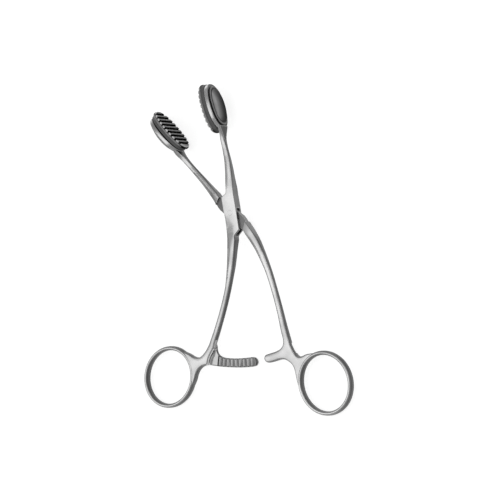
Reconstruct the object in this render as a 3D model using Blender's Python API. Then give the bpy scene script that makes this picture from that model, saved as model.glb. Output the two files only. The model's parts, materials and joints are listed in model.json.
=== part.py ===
"""Tongue forceps: two forged halves crossing in a box lock, a ratchet, finger rings, and ribbed rubber inserts.

Lengths below are millimetres. Each half is drawn in its own frame: the pivot is the origin, x and y lie in the
plane of motion, y runs along the lock towards the jaws, and z is the thickness, front face up. The two frames
coincide when the jaw frames stand parallel. Points called drawn are in the half open pose that the forceps lie in.
"""

import math

import bmesh
import bpy
import numpy as np
from mathutils import Matrix, Vector
from mathutils.geometry import delaunay_2d_cdt

MM = 0.001

# Pose: how far each half is turned anticlockwise
BOX_LEAN = 10.5
TONGUE_LEAN = 35.5

# How far cutters reach past the steel
CUTTER_REACH = 8.0

# Lock
LOCK_HALF_WIDTH = 3.7
TONGUE_SHOULDER = 4.6
LOCK_HALF = 2.7
TONGUE_HALF = 1.3
SIDE_CLEARANCE = 0.1
STEP_CLEARANCE = 0.15
PIN_RADIUS = 1.3
PIN_SEAT_CLEARANCE = 0.02
PIN_RUNNING_CLEARANCE = 0.06
PIN_SIDES = 32
UPPER_CHAMFER = ((-3.7, 8.7), (-1.5, 9.85))
LOWER_CHAMFER = ((3.7, -9.1), (0.7, -11.4))
WALL_TOP = (-0.15, 11.0)
WALL_KNEE = (2.75, 2.2)
WALL_FOOT = (3.7, 1.85)
SLOT_END = 13.0

# Ratchet
BAR_FRONT = -0.65
BAR_REAR = -2.6
RATCHET_CLEARANCE = 0.1
TOOTH_DEPTH = 0.65
TOOTH_PITCH = 1.78
BAR_TEETH = 10
STUB_TEETH = 3
TEETH_START = -6.6
STUB_TEETH_START = 14.9
TOOTH_STEP = 0.3
RATCHET_INNER = 73.1
RATCHET_OUTER = 78.9
RELIEF_ANGLES = (13.0, 32.0)

# Finger rings
RING_HOLE_HALF = (12.65, 14.05)
RING_BAND = 2.15
BOX_RING_CENTRE = (-37.2, -84.1)
BOX_RING_LEAN = -26.0
TONGUE_RING_CENTRE = (53.4, -84.35)
TONGUE_RING_LEAN = 21.0
BOX_RING_ARC = (360.0, 84.0)
TONGUE_RING_ARC = (88.0, -187.0)

# Jaw frames
FRAME_HALF_LENGTH = 12.0
FRAME_HALF_WIDTH = 7.75
FRAME_BAND = 2.4
FRAME_HALF_THICKNESS = 1.0
FRAME_STANDOFF = 4.3
JAW_LEAN = 8.2
JAW_MIDDLE = (-4.1, 55.1)
BOX_FRAME_SHIFT = -0.6
TONGUE_FRAME_SHIFT = 1.1
OVAL_POWER = 2.25

# Rubber inserts
SEAT_GAP = 0.3
PAD_HALF_LENGTH = FRAME_HALF_LENGTH + 1.1
PAD_HALF_WIDTH = FRAME_HALF_WIDTH - 0.25
PAD_RISE = 3.9
WAIST_DEPTH = 0.8
LIP_HEIGHT = 1.0
RIB_PITCH = 2.6
GROOVES = 9
GROOVE_DEPTH = 1.8
GROOVE_TOP = 1.7
GROOVE_BOTTOM = 1.2
RIM_WIDTH = 0.45
RIM_DROP = 0.75
BUTTON_OVERLAP = 0.75
BUTTON_HEIGHT = 2.75

# Fineness
EDGE_STEPS = 2
RING_POINTS = 44
RING_ARC_POINTS = 36
RELIEF_POINTS = 10
OVAL_POINTS = 32
SHARP_ANGLE = 34.0


# Points and curves

def turned(point, degrees):
    angle = math.radians(degrees)
    x, y = point
    return (x * math.cos(angle) - y * math.sin(angle), x * math.sin(angle) + y * math.cos(angle))


def own(points, lean):
    """Points of the drawn pose, in the half's own frame."""
    return [turned(p, -lean) for p in points]


def curve(points, spacing):
    """A smooth line through the points, with new points about this far apart."""
    given = [np.array(p, float) for p in points]
    padded = [2 * given[0] - given[1]] + given + [2 * given[-1] - given[-2]]
    found = [given[0]]
    for i in range(len(given) - 1):
        a, b, c, d = padded[i:i + 4]
        count = max(1, round(float(np.linalg.norm((c - b)[:2])) / spacing))
        for k in range(1, count + 1):
            t = k / count
            found.append(0.5 * (2 * b + (c - a) * t + (2 * a - 5 * b + 4 * c - d) * t * t
                                + (3 * b - a - 3 * c + d) * t ** 3))
    return [tuple(map(float, p)) for p in found]


def rails(centre_line, spacing):
    """The left and right edges of a shank given as (x, y, width) from the lock outwards."""
    line = np.array(curve(centre_line, spacing))
    along = np.gradient(line[:, :2], axis=0)
    along /= np.linalg.norm(along, axis=1)[:, None]
    across = np.stack([-along[:, 1], along[:, 0]], axis=1)
    left = line[:, :2] + across * line[:, 2:] / 2
    right = line[:, :2] - across * line[:, 2:] / 2
    return [tuple(map(float, p)) for p in left], [tuple(map(float, p)) for p in right]


def ellipse(centre, half, lean, start, end, count):
    """Points of an ellipse whose long axis leans by this angle from y, between two angles taken from its centre."""
    found = []
    for k in range(count):
        angle = math.radians(start + (end - start) * k / (count - 1))
        p = turned((half[0] * math.cos(angle), half[1] * math.sin(angle)), lean)
        found.append((centre[0] + p[0], centre[1] + p[1]))
    return found


def oval(half_length, half_width, count=OVAL_POINTS):
    """A closed oval a little fuller than an ellipse, its length along x."""
    found = []
    for k in range(count):
        angle = 2 * math.pi * k / count
        c, s = math.cos(angle), math.sin(angle)
        found.append((half_length * math.copysign(abs(c) ** (2 / OVAL_POWER), c),
                      half_width * math.copysign(abs(s) ** (2 / OVAL_POWER), s)))
    return found


def table(*pairs):
    """A function that runs straight between the pairs given."""
    places, values = zip(*pairs)
    return lambda place: float(np.interp(place, places, values))


def area(loop):
    p = np.array(loop)
    q = np.roll(p, -1, axis=0)
    return float((p[:, 0] * q[:, 1] - q[:, 0] * p[:, 1]).sum() / 2)


def spaced(loop, least=0.05):
    """The closed loop without points that nearly coincide, anticlockwise."""
    kept = []
    for p in loop:
        if not kept or math.dist(p, kept[-1]) > least:
            kept.append(p)
    if math.dist(kept[0], kept[-1]) <= least:
        kept.pop()
    return kept if area(kept) > 0 else kept[::-1]


def inward(loop):
    """The mitred step to the left of each point, for an offset of one."""
    p = np.array(loop)
    before = p - np.roll(p, 1, axis=0)
    after = np.roll(p, -1, axis=0) - p
    before /= np.linalg.norm(before, axis=1)[:, None]
    after /= np.linalg.norm(after, axis=1)[:, None]
    n1 = np.stack([-before[:, 1], before[:, 0]], axis=1)
    n2 = np.stack([-after[:, 1], after[:, 0]], axis=1)
    return (n1 + n2) / np.maximum(1 + (n1 * n2).sum(axis=1), 0.5)[:, None]


def contains(loop, x, y):
    inside = False
    for (x1, y1), (x2, y2) in zip(loop, loop[1:] + loop[:1]):
        if (y1 > y) != (y2 > y) and x < x1 + (y - y1) * (x2 - x1) / (y2 - y1):
            inside = not inside
    return inside


# Solids

def new_object(name, points, faces, parent, helper=False):
    mesh = bpy.data.meshes.new(name)
    mesh.from_pydata([Vector(p) * MM for p in points], [], faces)
    work = bmesh.new()
    work.from_mesh(mesh)
    bmesh.ops.recalc_face_normals(work, faces=work.faces)
    work.to_mesh(mesh)
    work.free()
    made = bpy.data.objects.new(name, mesh)
    bpy.context.scene.collection.objects.link(made)
    made.parent = parent
    if helper:
        made.hide_render = True
        made.display_type = "WIRE"
    return made


def plate(name, outline, parent, front, rear, edge, hole=None, place=None, steps=EDGE_STEPS, helper=False):
    """A forging of this plan. Front, rear and edge give the heights of its faces and its edge radius at a point."""
    loops = [spaced(outline)]
    if hole:
        loops.append(spaced(hole)[::-1])
    points, faces, front_cap, rear_cap = [], [], [], []
    for loop in loops:
        step = inward(loop)
        count = len(loop)
        base = len(points)
        for side in (-1, 1):
            order = range(steps, -1, -1) if side < 0 else range(steps + 1)
            for k in order:
                angle = math.pi / 2 * k / steps
                for (x, y), (sx, sy) in zip(loop, step):
                    r = edge(x, y)
                    d = r * (1 - math.cos(angle))
                    face = front(x, y) if side > 0 else rear(x, y)
                    points.append((x + sx * d, y + sy * d, face - side * r * (1 - math.sin(angle))))
        rows = 2 * (steps + 1)
        for row in range(rows - 1):
            for i in range(count):
                j = (i + 1) % count
                a = base + row * count
                faces.append((a + i, a + j, a + count + j, a + count + i))
        rear_cap.append(list(range(base, base + count)))
        front_cap.append(list(range(base + (rows - 1) * count, base + rows * count)))
    for cap in (rear_cap, front_cap):
        flat = [i for ring in cap for i in ring]
        plan = [Vector(points[i][:2]) for i in flat]
        edges = []
        start = 0
        for ring in cap:
            edges += [(start + i, start + (i + 1) % len(ring)) for i in range(len(ring))]
            start += len(ring)
        _, _, triangles, source, _, _ = delaunay_2d_cdt(plan, edges, [], 0, 1e-6)
        bounds = [[points[i][:2] for i in ring] for ring in cap]
        for triangle in triangles:
            corners = [flat[source[i][0]] for i in triangle]
            x = sum(points[i][0] for i in corners) / 3
            y = sum(points[i][1] for i in corners) / 3
            if contains(bounds[0], x, y) and not any(contains(b, x, y) for b in bounds[1:]):
                faces.append(corners)
    if place is not None:
        points = [tuple(place @ Vector(p)) for p in points]
    return new_object(name, points, faces, parent, helper)


def prism(name, outline, low, high, parent):
    """A helper with upright sides and flat ends."""
    loop = spaced(outline)
    count = len(loop)
    points = [(x, y, low) for x, y in loop] + [(x, y, high) for x, y in loop]
    faces = [tuple(range(count)), tuple(range(count, 2 * count))]
    faces += [(i, (i + 1) % count, count + (i + 1) % count, count + i) for i in range(count)]
    return new_object(name, points, faces, parent, helper=True)


def stacked(name, loops, place, parent):
    """Closed loops with equal counts joined one above the next and closed at both ends."""
    count = len(loops[0])
    points = [tuple(place @ Vector(p)) for loop in loops for p in loop]
    faces = [tuple(range(count)), tuple(range((len(loops) - 1) * count, len(loops) * count))]
    for row in range(len(loops) - 1):
        for i in range(count):
            j = (i + 1) % count
            faces.append((row * count + i, row * count + j, (row + 1) * count + j, (row + 1) * count + i))
    return new_object(name, points, faces, parent)


def combine(target, tool, operation):
    tool.hide_render = True
    tool.display_type = "WIRE"
    change = target.modifiers.new(f"{operation.lower()} {tool.name}", "BOOLEAN")
    change.operation = operation
    change.solver = "EXACT"
    change.object = tool


def saw(start, teeth, low):
    """A ratchet's saw line as angle and height, low at both ends."""
    line = [(start, low)]
    for k in range(teeth):
        line += [(start + k * TOOTH_PITCH + TOOTH_STEP, low + TOOTH_DEPTH), (start + (k + 1) * TOOTH_PITCH, low)]
    return line


def saw_cutter(name, line, far_side, parent):
    """Cuts everything between a saw line and a height. Angles are about the pivot, from the drawn -y axis."""
    points = []
    for degrees, height in line:
        angle = math.radians(degrees)
        for r, z in ((RATCHET_INNER - 1.5, height), (RATCHET_OUTER + 1.5, height),
                     (RATCHET_OUTER + 1.5, far_side), (RATCHET_INNER - 1.5, far_side)):
            points.append((r * math.sin(angle), -r * math.cos(angle), z))
    count = len(line)
    faces = [(0, 1, 2, 3), tuple(range(4 * count - 4, 4 * count))]
    for row in range(count - 1):
        for i in range(4):
            j = (i + 1) % 4
            faces.append((4 * row + i, 4 * row + j, 4 * row + 4 + j, 4 * row + 4 + i))
    return new_object(name, points, faces, parent, helper=True)


# Materials

def material(name, colour, metallic, roughness):
    made = bpy.data.materials.new(name)
    made.use_nodes = True
    shader = made.node_tree.nodes["Principled BSDF"]
    shader.inputs["Base Color"].default_value = (*colour, 1.0)
    shader.inputs["Metallic"].default_value = metallic
    shader.inputs["Roughness"].default_value = roughness
    return made


def dressed(made, coat):
    made.data.materials.append(coat)
    for polygon in made.data.polygons:
        polygon.use_smooth = True
    made.data.set_sharp_from_angle(angle=math.radians(SHARP_ANGLE))


# Shared shapes

FRAME_FOOT = JAW_MIDDLE[1] - FRAME_HALF_LENGTH * math.cos(math.radians(JAW_LEAN))
lower_half = table((-200, 2.15), (-72, 2.15), (-62, 2.0), (-50, 1.85), (-36, 1.95), (-22, 2.35), (-13, LOCK_HALF - 0.05),
                   (-11, LOCK_HALF), (10, LOCK_HALF), (13, LOCK_HALF - 0.1), (22, 2.05), (29, 1.5),
                   (FRAME_FOOT - 10.0, 1.4), (FRAME_FOOT - 7.0, 1.6), (FRAME_FOOT - 4.5, 2.05),
                   (FRAME_FOOT - 2.5, 2.65), (FRAME_FOOT - 1.0, 3.3), (FRAME_FOOT + 0.5, 3.9), (FRAME_FOOT + 2.0, 4.4))
edge_radius = table((-200, 1.0), (-60, 1.0), (-20, 0.8), (-12.5, 0.35), (-11, 0.3), (10, 0.3), (12, 0.4), (20, 0.7),
                    (40, 0.7), (44, 0.8))


def half_thickness(x, y):
    return lower_half(y)


def rear_face(x, y):
    return -lower_half(y)


def edge(x, y):
    return edge_radius(y)


def jaw_place(side, shift):
    """From a jaw frame's own axes (length, width, towards the other jaw) to its half's frame."""
    lean = math.radians(JAW_LEAN)
    along = Vector((-math.sin(lean), math.cos(lean), 0))
    facing = Vector((math.cos(lean), math.sin(lean), 0)) * side
    middle = Vector((*JAW_MIDDLE, 0)) - facing * FRAME_STANDOFF + along * shift
    across = facing.cross(along)
    return Matrix((
        (along.x, across.x, facing.x, middle.x),
        (along.y, across.y, facing.y, middle.y),
        (along.z, across.z, facing.z, middle.z),
        (0, 0, 0, 1),
    ))


def shank_end(place, inside, outside, width):
    """A shank's point this far past the foot of its jaw frame and this far behind the frame's middle plane."""
    spot = place @ Vector((inside - FRAME_HALF_LENGTH, 0, -outside))
    return (spot.x, spot.y, width)


def jaw_frame(name, place, parent):
    outer = oval(FRAME_HALF_LENGTH, FRAME_HALF_WIDTH)
    window = oval(FRAME_HALF_LENGTH - FRAME_BAND, FRAME_HALF_WIDTH - FRAME_BAND)
    return plate(name, outer, parent, lambda x, y: FRAME_HALF_THICKNESS, lambda x, y: -FRAME_HALF_THICKNESS,
                 lambda x, y: 0.5, hole=window, place=place)


def insert(name, place, parent):
    """One moulded rubber piece: domed button behind, neck through the window, ribbed pad in front."""
    window = (FRAME_HALF_LENGTH - FRAME_BAND, FRAME_HALF_WIDTH - FRAME_BAND)
    neck = (window[0] - SEAT_GAP, window[1] - SEAT_GAP)
    button = (window[0] + BUTTON_OVERLAP, window[1] + BUTTON_OVERLAP)
    pad = (PAD_HALF_LENGTH, PAD_HALF_WIDTH)
    waist = (PAD_HALF_LENGTH - WAIST_DEPTH, PAD_HALF_WIDTH - WAIST_DEPTH)
    ribs = (PAD_HALF_LENGTH - RIM_WIDTH, PAD_HALF_WIDTH - RIM_WIDTH)
    back = -FRAME_HALF_THICKNESS - SEAT_GAP
    seat = FRAME_HALF_THICKNESS + SEAT_GAP
    top = FRAME_HALF_THICKNESS + PAD_RISE
    rim = top - RIM_DROP
    sections = [
        (button, 0.30, 0.35, back - BUTTON_HEIGHT),
        (button, 0.62, 0.66, back - 0.90 * BUTTON_HEIGHT),
        (button, 0.84, 0.86, back - 0.68 * BUTTON_HEIGHT),
        (button, 0.95, 0.95, back - 0.42 * BUTTON_HEIGHT),
        (button, 1.0, 1.0, back - 0.26 * BUTTON_HEIGHT),
        (button, 1.0, 1.0, back - 0.08 * BUTTON_HEIGHT),
        (button, 0.97, 0.96, back),
        (neck, 1.0, 1.0, back),
        (neck, 1.0, 1.0, seat),
        (waist, 1.0, 1.0, seat),
        (waist, 1.0, 1.0, rim - LIP_HEIGHT - 0.5),
        (pad, 1.0, 1.0, rim - LIP_HEIGHT),
        (pad, 1.0, 1.0, rim - 0.4),
        (pad, 0.97, 0.955, rim),
        (ribs, 1.0, 1.0, rim),
        (ribs, 0.985, 0.975, top - 0.3),
        (ribs, 0.96, 0.94, top),
    ]
    loops = []
    for (length, width), x_share, y_share, height in sections:
        loops.append([(x * x_share, y * y_share, height) for x, y in oval(length, width)])
    made = stacked(name, loops, place, parent)

    def chord(x):
        share = (abs(x) / (ribs[0] + 0.1)) ** OVAL_POWER
        return (ribs[1] + 0.1) * max(0.0, 1 - share) ** (1 / OVAL_POWER)

    grooves_points, grooves_faces = [], []
    for k in range(GROOVES):
        middle = (k - (GROOVES - 1) / 2) * RIB_PITCH
        low = top - GROOVE_DEPTH
        profile = [
            (middle - GROOVE_BOTTOM / 2, low),
            (middle + GROOVE_BOTTOM / 2, low),
            (middle + GROOVE_TOP / 2 - 0.25, top - 0.25),
            (middle + GROOVE_TOP / 2 + 0.3, top + 0.15),
            (middle - GROOVE_TOP / 2 - 0.3, top + 0.15),
            (middle - GROOVE_TOP / 2 + 0.25, top - 0.25),
        ]
        base = len(grooves_points)
        for side in (-1, 1):
            grooves_points += [tuple(place @ Vector((x, side * chord(x), z))) for x, z in profile]
        size = len(profile)
        grooves_faces += [tuple(range(base, base + size)), tuple(range(base + size, base + 2 * size))]
        for i in range(size):
            j = (i + 1) % size
            grooves_faces.append((base + i, base + j, base + size + j, base + size + i))
    grooves = new_object(f"{name}_grooves", grooves_points, grooves_faces, parent, helper=True)
    combine(made, grooves, "DIFFERENCE")
    return made


# Box half

def box_half(root):
    holder = bpy.data.objects.new("box_half_frame", None)
    bpy.context.scene.collection.objects.link(holder)
    holder.parent = root
    holder.rotation_euler.z = math.radians(BOX_LEAN)

    place = jaw_place(-1, BOX_FRAME_SHIFT)
    upper = [(1.65, 11.8, 4.25), (1.8, 16.7, 4.1), (2.1, 21.8, 3.7), (2.15, 27.0, 3.3), (1.85, 32.2, 2.9),
             (1.6, 37.5, 2.5), shank_end(place, -2.3, -0.3, 2.1), shank_end(place, 1.2, 0.35, 2.0)]
    lower = [(-2.05, -13.2, 4.45), (-3.45, -18.4, 4.3), (-4.65, -23.3, 4.05), (-6.15, -28.2, 3.7), (-9.73, -37.8, 3.15),
             (-14.3, -47.3, 3.2), (-19.5, -56.8, 3.3), (-21.95, -60.9, 3.35)]
    upper_left, upper_right = rails(upper, 2.6)
    lower_right, lower_left = rails(lower, 3.2)

    half = (RING_HOLE_HALF[0] + RING_BAND, RING_HOLE_HALF[1] + RING_BAND)
    ring = ellipse(BOX_RING_CENTRE, half, BOX_RING_LEAN, *BOX_RING_ARC, RING_ARC_POINTS)
    step_line = [(-9.6, -66.2), (-10.3, -69.0), (-11.9, -71.6), (-13.2, -74.2), (-13.9, -77.1)]
    under = [(-13.9, -77.3), (-16.8, -78.0), (-19.1, -79.7), (-20.7, -82.4), (-21.9, -85.7), ring[0]]
    crotch = [ring[-1], (-25.3, -71.9), (-22.4, -73.2), (-19.8, -73.6), (-17.6, -72.7), (-15.1, -69.9), (-13.2, -66.5)]

    outline = upper_right[::-1]
    outline += [(3.62, 9.4), (LOCK_HALF_WIDTH, 4.0), (LOCK_HALF_WIDTH, -4.0), LOWER_CHAMFER[0], LOWER_CHAMFER[1]]
    outline += [(0.15, -12.2)]
    outline += lower_right
    outline += own(curve(step_line, 2.6), BOX_LEAN)
    outline += own(curve(under, 2.2), BOX_LEAN)[1:]
    outline += own(ring, BOX_LEAN)[1:-1]
    outline += own(curve(crotch, 2.0), BOX_LEAN)
    outline += lower_left[::-1]
    outline += [(-3.85, -9.6), (-LOCK_HALF_WIDTH, -5.0), (-LOCK_HALF_WIDTH, 2.0), UPPER_CHAMFER[0]]
    outline += curve([(-1.5, 9.85), (-0.85, 10.35), (-0.55, 11.2), upper_left[0]], 0.6)[:-1]
    outline += upper_left
    hole = own(ellipse(BOX_RING_CENTRE, RING_HOLE_HALF, BOX_RING_LEAN, 0, 360, RING_POINTS)[:-1], BOX_LEAN)
    body = plate("box_half", outline, holder, half_thickness, rear_face, edge, hole=hole)

    bar = [(-13.6, -69.2), (-11.3, -65.6), (-10.2, -67.6), (-9.9, -69.9), (-8.9, -71.8), (-6.6, -73.1), (-3.1, -73.6),
           (2.1, -73.6), (7.2, -73.15), (11.5, -72.65), (13.2, -73.3), (14.1, -74.8), (13.7, -76.4), (12.2, -77.3),
           (7.0, -77.95), (0.0, -78.2), (-7.8, -78.0), (-13.0, -77.5), (-17.2, -76.9), (-18.4, -75.6)]
    ratchet = plate("ratchet_bar", own(bar, BOX_LEAN), holder, lambda x, y: BAR_FRONT, lambda x, y: BAR_REAR,
                    lambda x, y: 0.3, steps=1, helper=True)
    line = saw(TEETH_START, BAR_TEETH, BAR_FRONT - TOOTH_DEPTH)
    line = [(line[0][0] - TOOTH_STEP, BAR_FRONT)] + line + [(line[-1][0] + TOOTH_STEP, BAR_FRONT)]
    teeth = saw_cutter("ratchet_bar_teeth", line, CUTTER_REACH, holder)
    teeth.rotation_euler.z = math.radians(-BOX_LEAN)
    combine(ratchet, teeth, "DIFFERENCE")
    combine(body, ratchet, "UNION")

    frame = jaw_frame("box_jaw_frame", place, holder)
    combine(body, frame, "UNION")

    walls = [(CUTTER_REACH, WALL_FOOT[1] - 0.25), WALL_FOOT, WALL_KNEE, WALL_TOP, (-0.8, SLOT_END), (-CUTTER_REACH, SLOT_END)]
    walls += [(-x, -y) for x, y in walls]
    slot = prism("box_slot", walls, -TONGUE_HALF - SIDE_CLEARANCE, TONGUE_HALF + SIDE_CLEARANCE, holder)
    combine(body, slot, "DIFFERENCE")
    bore = round_bar("box_bore", PIN_RADIUS + PIN_SEAT_CLEARANCE, -CUTTER_REACH, CUTTER_REACH, holder, helper=True)
    combine(body, bore, "DIFFERENCE")
    return holder, body


# Tongue half

def beyond(chamfer, away):
    """The chamfer's line moved out from the pivot by the step clearance, and made longer at both ends."""
    a, b = (np.array(p, float) for p in chamfer)
    along = (b - a) / np.linalg.norm(b - a)
    out = np.array([-along[1], along[0]])
    if out @ a < 0:
        out = -out
    return a + out * away - along * 4, b + out * away + along * 4, out


def tongue_half(root):
    holder = bpy.data.objects.new("tongue_half_frame", None)
    bpy.context.scene.collection.objects.link(holder)
    holder.parent = root
    holder.rotation_euler.z = math.radians(TONGUE_LEAN)

    place = jaw_place(1, TONGUE_FRAME_SHIFT)
    upper = [(-2.75, 12.6, 3.95), (-3.44, 17.0, 3.75), (-4.42, 24.0, 3.3), (-5.65, 31.3, 2.95), (-6.84, 38.6, 2.6),
             shank_end(place, -1.7, 0.85, 2.45), shank_end(place, 1.2, 0.6, 2.1)]
    lower = [(2.7, -13.2, 4.15), (2.72, -18.7, 4.25), (2.22, -24.5, 3.9), (0.3, -35.4, 3.35), (-2.6, -45.6, 3.15),
             (-5.87, -55.5, 3.2), (-9.15, -64.2, 3.35)]
    upper_left, upper_right = rails(upper, 2.6)
    lower_right, lower_left = rails(lower, 3.2)

    half = (RING_HOLE_HALF[0] + RING_BAND, RING_HOLE_HALF[1] + RING_BAND)
    ring = ellipse(TONGUE_RING_CENTRE, half, TONGUE_RING_LEAN, *TONGUE_RING_ARC, RING_ARC_POINTS)
    crotch = [(34.2, -66.0), (35.7, -68.7), (37.3, -70.7), (38.8, -71.6), (40.8, -71.3), (43.5, -70.2), ring[0]]
    under = [ring[-1], (38.1, -84.0), (37.2, -80.7), (36.2, -77.5), (34.9, -75.5), (33.0, -74.1), (31.1, -73.3),
             (28.4, -73.4), (25.8, -74.2), (22.2, -75.1), (20.1, -74.6), (19.2, -72.9), (19.9, -71.3), (22.2, -70.5),
             (25.7, -69.4), (28.0, -68.3), (29.4, -66.9), (30.0, -65.1), (29.8, -63.0)]

    outline = upper_right[::-1]
    outline += [(-0.75, 10.45), (-0.35, 10.1), (WALL_KNEE[0] - 0.2, WALL_KNEE[1] - 0.05), (3.05, 0.0), (3.85, -3.2)]
    outline += [(TONGUE_SHOULDER - 0.2, -4.7), (TONGUE_SHOULDER, -6.6), (TONGUE_SHOULDER, -10.2)]
    outline += lower_right
    outline += own(curve(crotch, 2.0), TONGUE_LEAN)
    outline += own(ring, TONGUE_LEAN)[1:-1]
    outline += own(curve(under, 2.0), TONGUE_LEAN)
    outline += lower_left[::-1]
    outline += [(0.85, -11.6), (0.4, -10.9), (-WALL_KNEE[0] + 0.2, -WALL_KNEE[1] + 0.05), (-3.05, 0.0), (-3.85, 3.2)]
    outline += [(0.2 - TONGUE_SHOULDER, 4.7), (-TONGUE_SHOULDER, 6.6), (-TONGUE_SHOULDER, 10.2)]
    outline += upper_left
    hole = own(ellipse(TONGUE_RING_CENTRE, RING_HOLE_HALF, TONGUE_RING_LEAN, 0, 360, RING_POINTS)[:-1], TONGUE_LEAN)
    body = plate("tongue_half", outline, holder, half_thickness, rear_face, edge, hole=hole)

    frame = jaw_frame("tongue_jaw_frame", place, holder)
    combine(body, frame, "UNION")

    first = beyond(UPPER_CHAMFER, STEP_CLEARANCE)
    second = beyond(LOWER_CHAMFER, STEP_CLEARANCE)
    flank = [first[0], first[1], second[0], second[1]]
    for name, low, high in (("front_of_tongue", TONGUE_HALF, CUTTER_REACH),
                            ("rear_of_tongue", -CUTTER_REACH, -TONGUE_HALF)):
        combine(body, prism(name, [tuple(map(float, p)) for p in flank], low, high, holder), "DIFFERENCE")

    behind = BAR_FRONT + RATCHET_CLEARANCE
    inner = ellipse((0, 0), (RATCHET_INNER, RATCHET_INNER), -90, *RELIEF_ANGLES, RELIEF_POINTS)
    outer = ellipse((0, 0), (RATCHET_OUTER, RATCHET_OUTER), -90, *RELIEF_ANGLES, RELIEF_POINTS)
    relief = prism("bar_relief", own(inner + outer[::-1], TONGUE_LEAN), -CUTTER_REACH, behind, holder)
    combine(body, relief, "DIFFERENCE")
    line = saw(STUB_TEETH_START, STUB_TEETH, behind)
    teeth = saw_cutter("ratchet_stub_teeth", line, -CUTTER_REACH, holder)
    teeth.rotation_euler.z = math.radians(-TONGUE_LEAN)
    combine(body, teeth, "DIFFERENCE")
    bore = round_bar("tongue_bore", PIN_RADIUS + PIN_RUNNING_CLEARANCE, -CUTTER_REACH, CUTTER_REACH, holder, helper=True)
    combine(body, bore, "DIFFERENCE")
    return holder, body


def round_bar(name, radius, low, high, parent, helper=False):
    """A round bar on the pivot whose flats clear this radius inside and out."""
    loop = [turned((radius, 0), 360 * k / PIN_SIDES) for k in range(PIN_SIDES)]
    made = prism(name, loop, low, high, parent)
    made.hide_render = helper
    made.display_type = "WIRE" if helper else "TEXTURED"
    return made


# Rest on a table

def solid_points(made):
    graph = bpy.context.evaluated_depsgraph_get()
    seen = made.evaluated_get(graph)
    mesh = seen.to_mesh()
    mesh.calc_loop_triangles()
    points = np.array([seen.matrix_world @ v.co for v in mesh.vertices])
    faces = np.array([t.vertices for t in mesh.loop_triangles])
    seen.to_mesh_clear()
    return points, faces


def weight(points, faces):
    a, b, c = (points[faces[:, i]] for i in range(3))
    parts = np.einsum("ij,ij->i", a, np.cross(b, c)) / 6
    return float(parts.sum()), ((a + b + c) / 4 * parts[:, None]).sum(axis=0)


def settle(root, solids):
    """Turns and moves the root so the object lies as it would come to rest, centred, with its lowest point at zero."""
    bpy.context.view_layer.update()
    clouds, volume, moment = [], 0.0, np.zeros(3)
    for made, density in solids:
        points, faces = solid_points(made)
        v, m = weight(points, faces)
        clouds.append(points)
        volume += v * density
        moment += m * density
    cloud = np.concatenate(clouds)
    middle = moment / volume
    work = bmesh.new()
    for p in cloud:
        work.verts.new(p)
    bmesh.ops.convex_hull(work, input=work.verts)
    best = None
    for face in work.faces:
        corners = [v.co.copy() for v in face.verts]
        normal = (corners[1] - corners[0]).cross(corners[2] - corners[0])
        if normal.length < 1e-12:
            continue
        normal.normalize()
        if (corners[0] - Vector(middle)).dot(normal) < 0:
            normal = -normal
        if normal.z > -0.9:
            continue
        signs = []
        for p, q in zip(corners, corners[1:] + corners[:1]):
            signs.append((q - p).cross(Vector(middle) - p).dot(normal))
        if all(s >= 0 for s in signs) or all(s <= 0 for s in signs):
            best = normal
    work.free()
    turn = best.rotation_difference(Vector((0, 0, -1))).to_matrix().to_4x4()
    turned_cloud = cloud @ np.array(turn.to_3x3()).T
    low, high = turned_cloud.min(axis=0), turned_cloud.max(axis=0)
    shift = Matrix.Translation((-(low[0] + high[0]) / 2, -(low[1] + high[1]) / 2, -low[2]))
    root.matrix_world = shift @ turn
    bpy.context.view_layer.update()


# Assembly

for old in list(bpy.data.objects):
    bpy.data.objects.remove(old, do_unlink=True)

root = bpy.data.objects.new("forceps", None)
bpy.context.scene.collection.objects.link(root)

steel = material("satin_steel", (0.62, 0.63, 0.64), 1.0, 0.3)
rubber = material("grey_rubber", (0.10, 0.10, 0.105), 0.0, 0.55)

box_frame, box_body = box_half(root)
tongue_frame, tongue_body = tongue_half(root)
pin = round_bar("pivot_pin", PIN_RADIUS, PIN_SEAT_CLEARANCE - LOCK_HALF, LOCK_HALF - PIN_SEAT_CLEARANCE, box_frame)
pin.hide_render = False
box_pad = insert("box_half_pad", jaw_place(-1, BOX_FRAME_SHIFT), box_frame)
tongue_pad = insert("tongue_half_pad", jaw_place(1, TONGUE_FRAME_SHIFT), tongue_frame)

for made in (box_body, tongue_body, pin):
    dressed(made, steel)
for made in (box_pad, tongue_pad):
    dressed(made, rubber)

STEEL_DENSITY = 7.8
RUBBER_DENSITY = 1.3
settle(root, [(box_body, STEEL_DENSITY), (tongue_body, STEEL_DENSITY), (pin, STEEL_DENSITY),
              (box_pad, RUBBER_DENSITY), (tongue_pad, RUBBER_DENSITY)])
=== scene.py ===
"""Looks of the tongue forceps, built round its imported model.

The two forged halves and their rubber inserts are modelled again with fine rounded edges, crowned faces and
smooth curves. They take the sizes, in millimetres, and the half frames of the solids that they stand for: in
each half's frame the pivot is the origin, y runs along the lock towards the jaws, and z is the thickness,
front face up.
"""

import json
import math

import bmesh
import bpy
import numpy as np
from mathutils import Matrix, Vector
from mathutils.geometry import delaunay_2d_cdt

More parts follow.
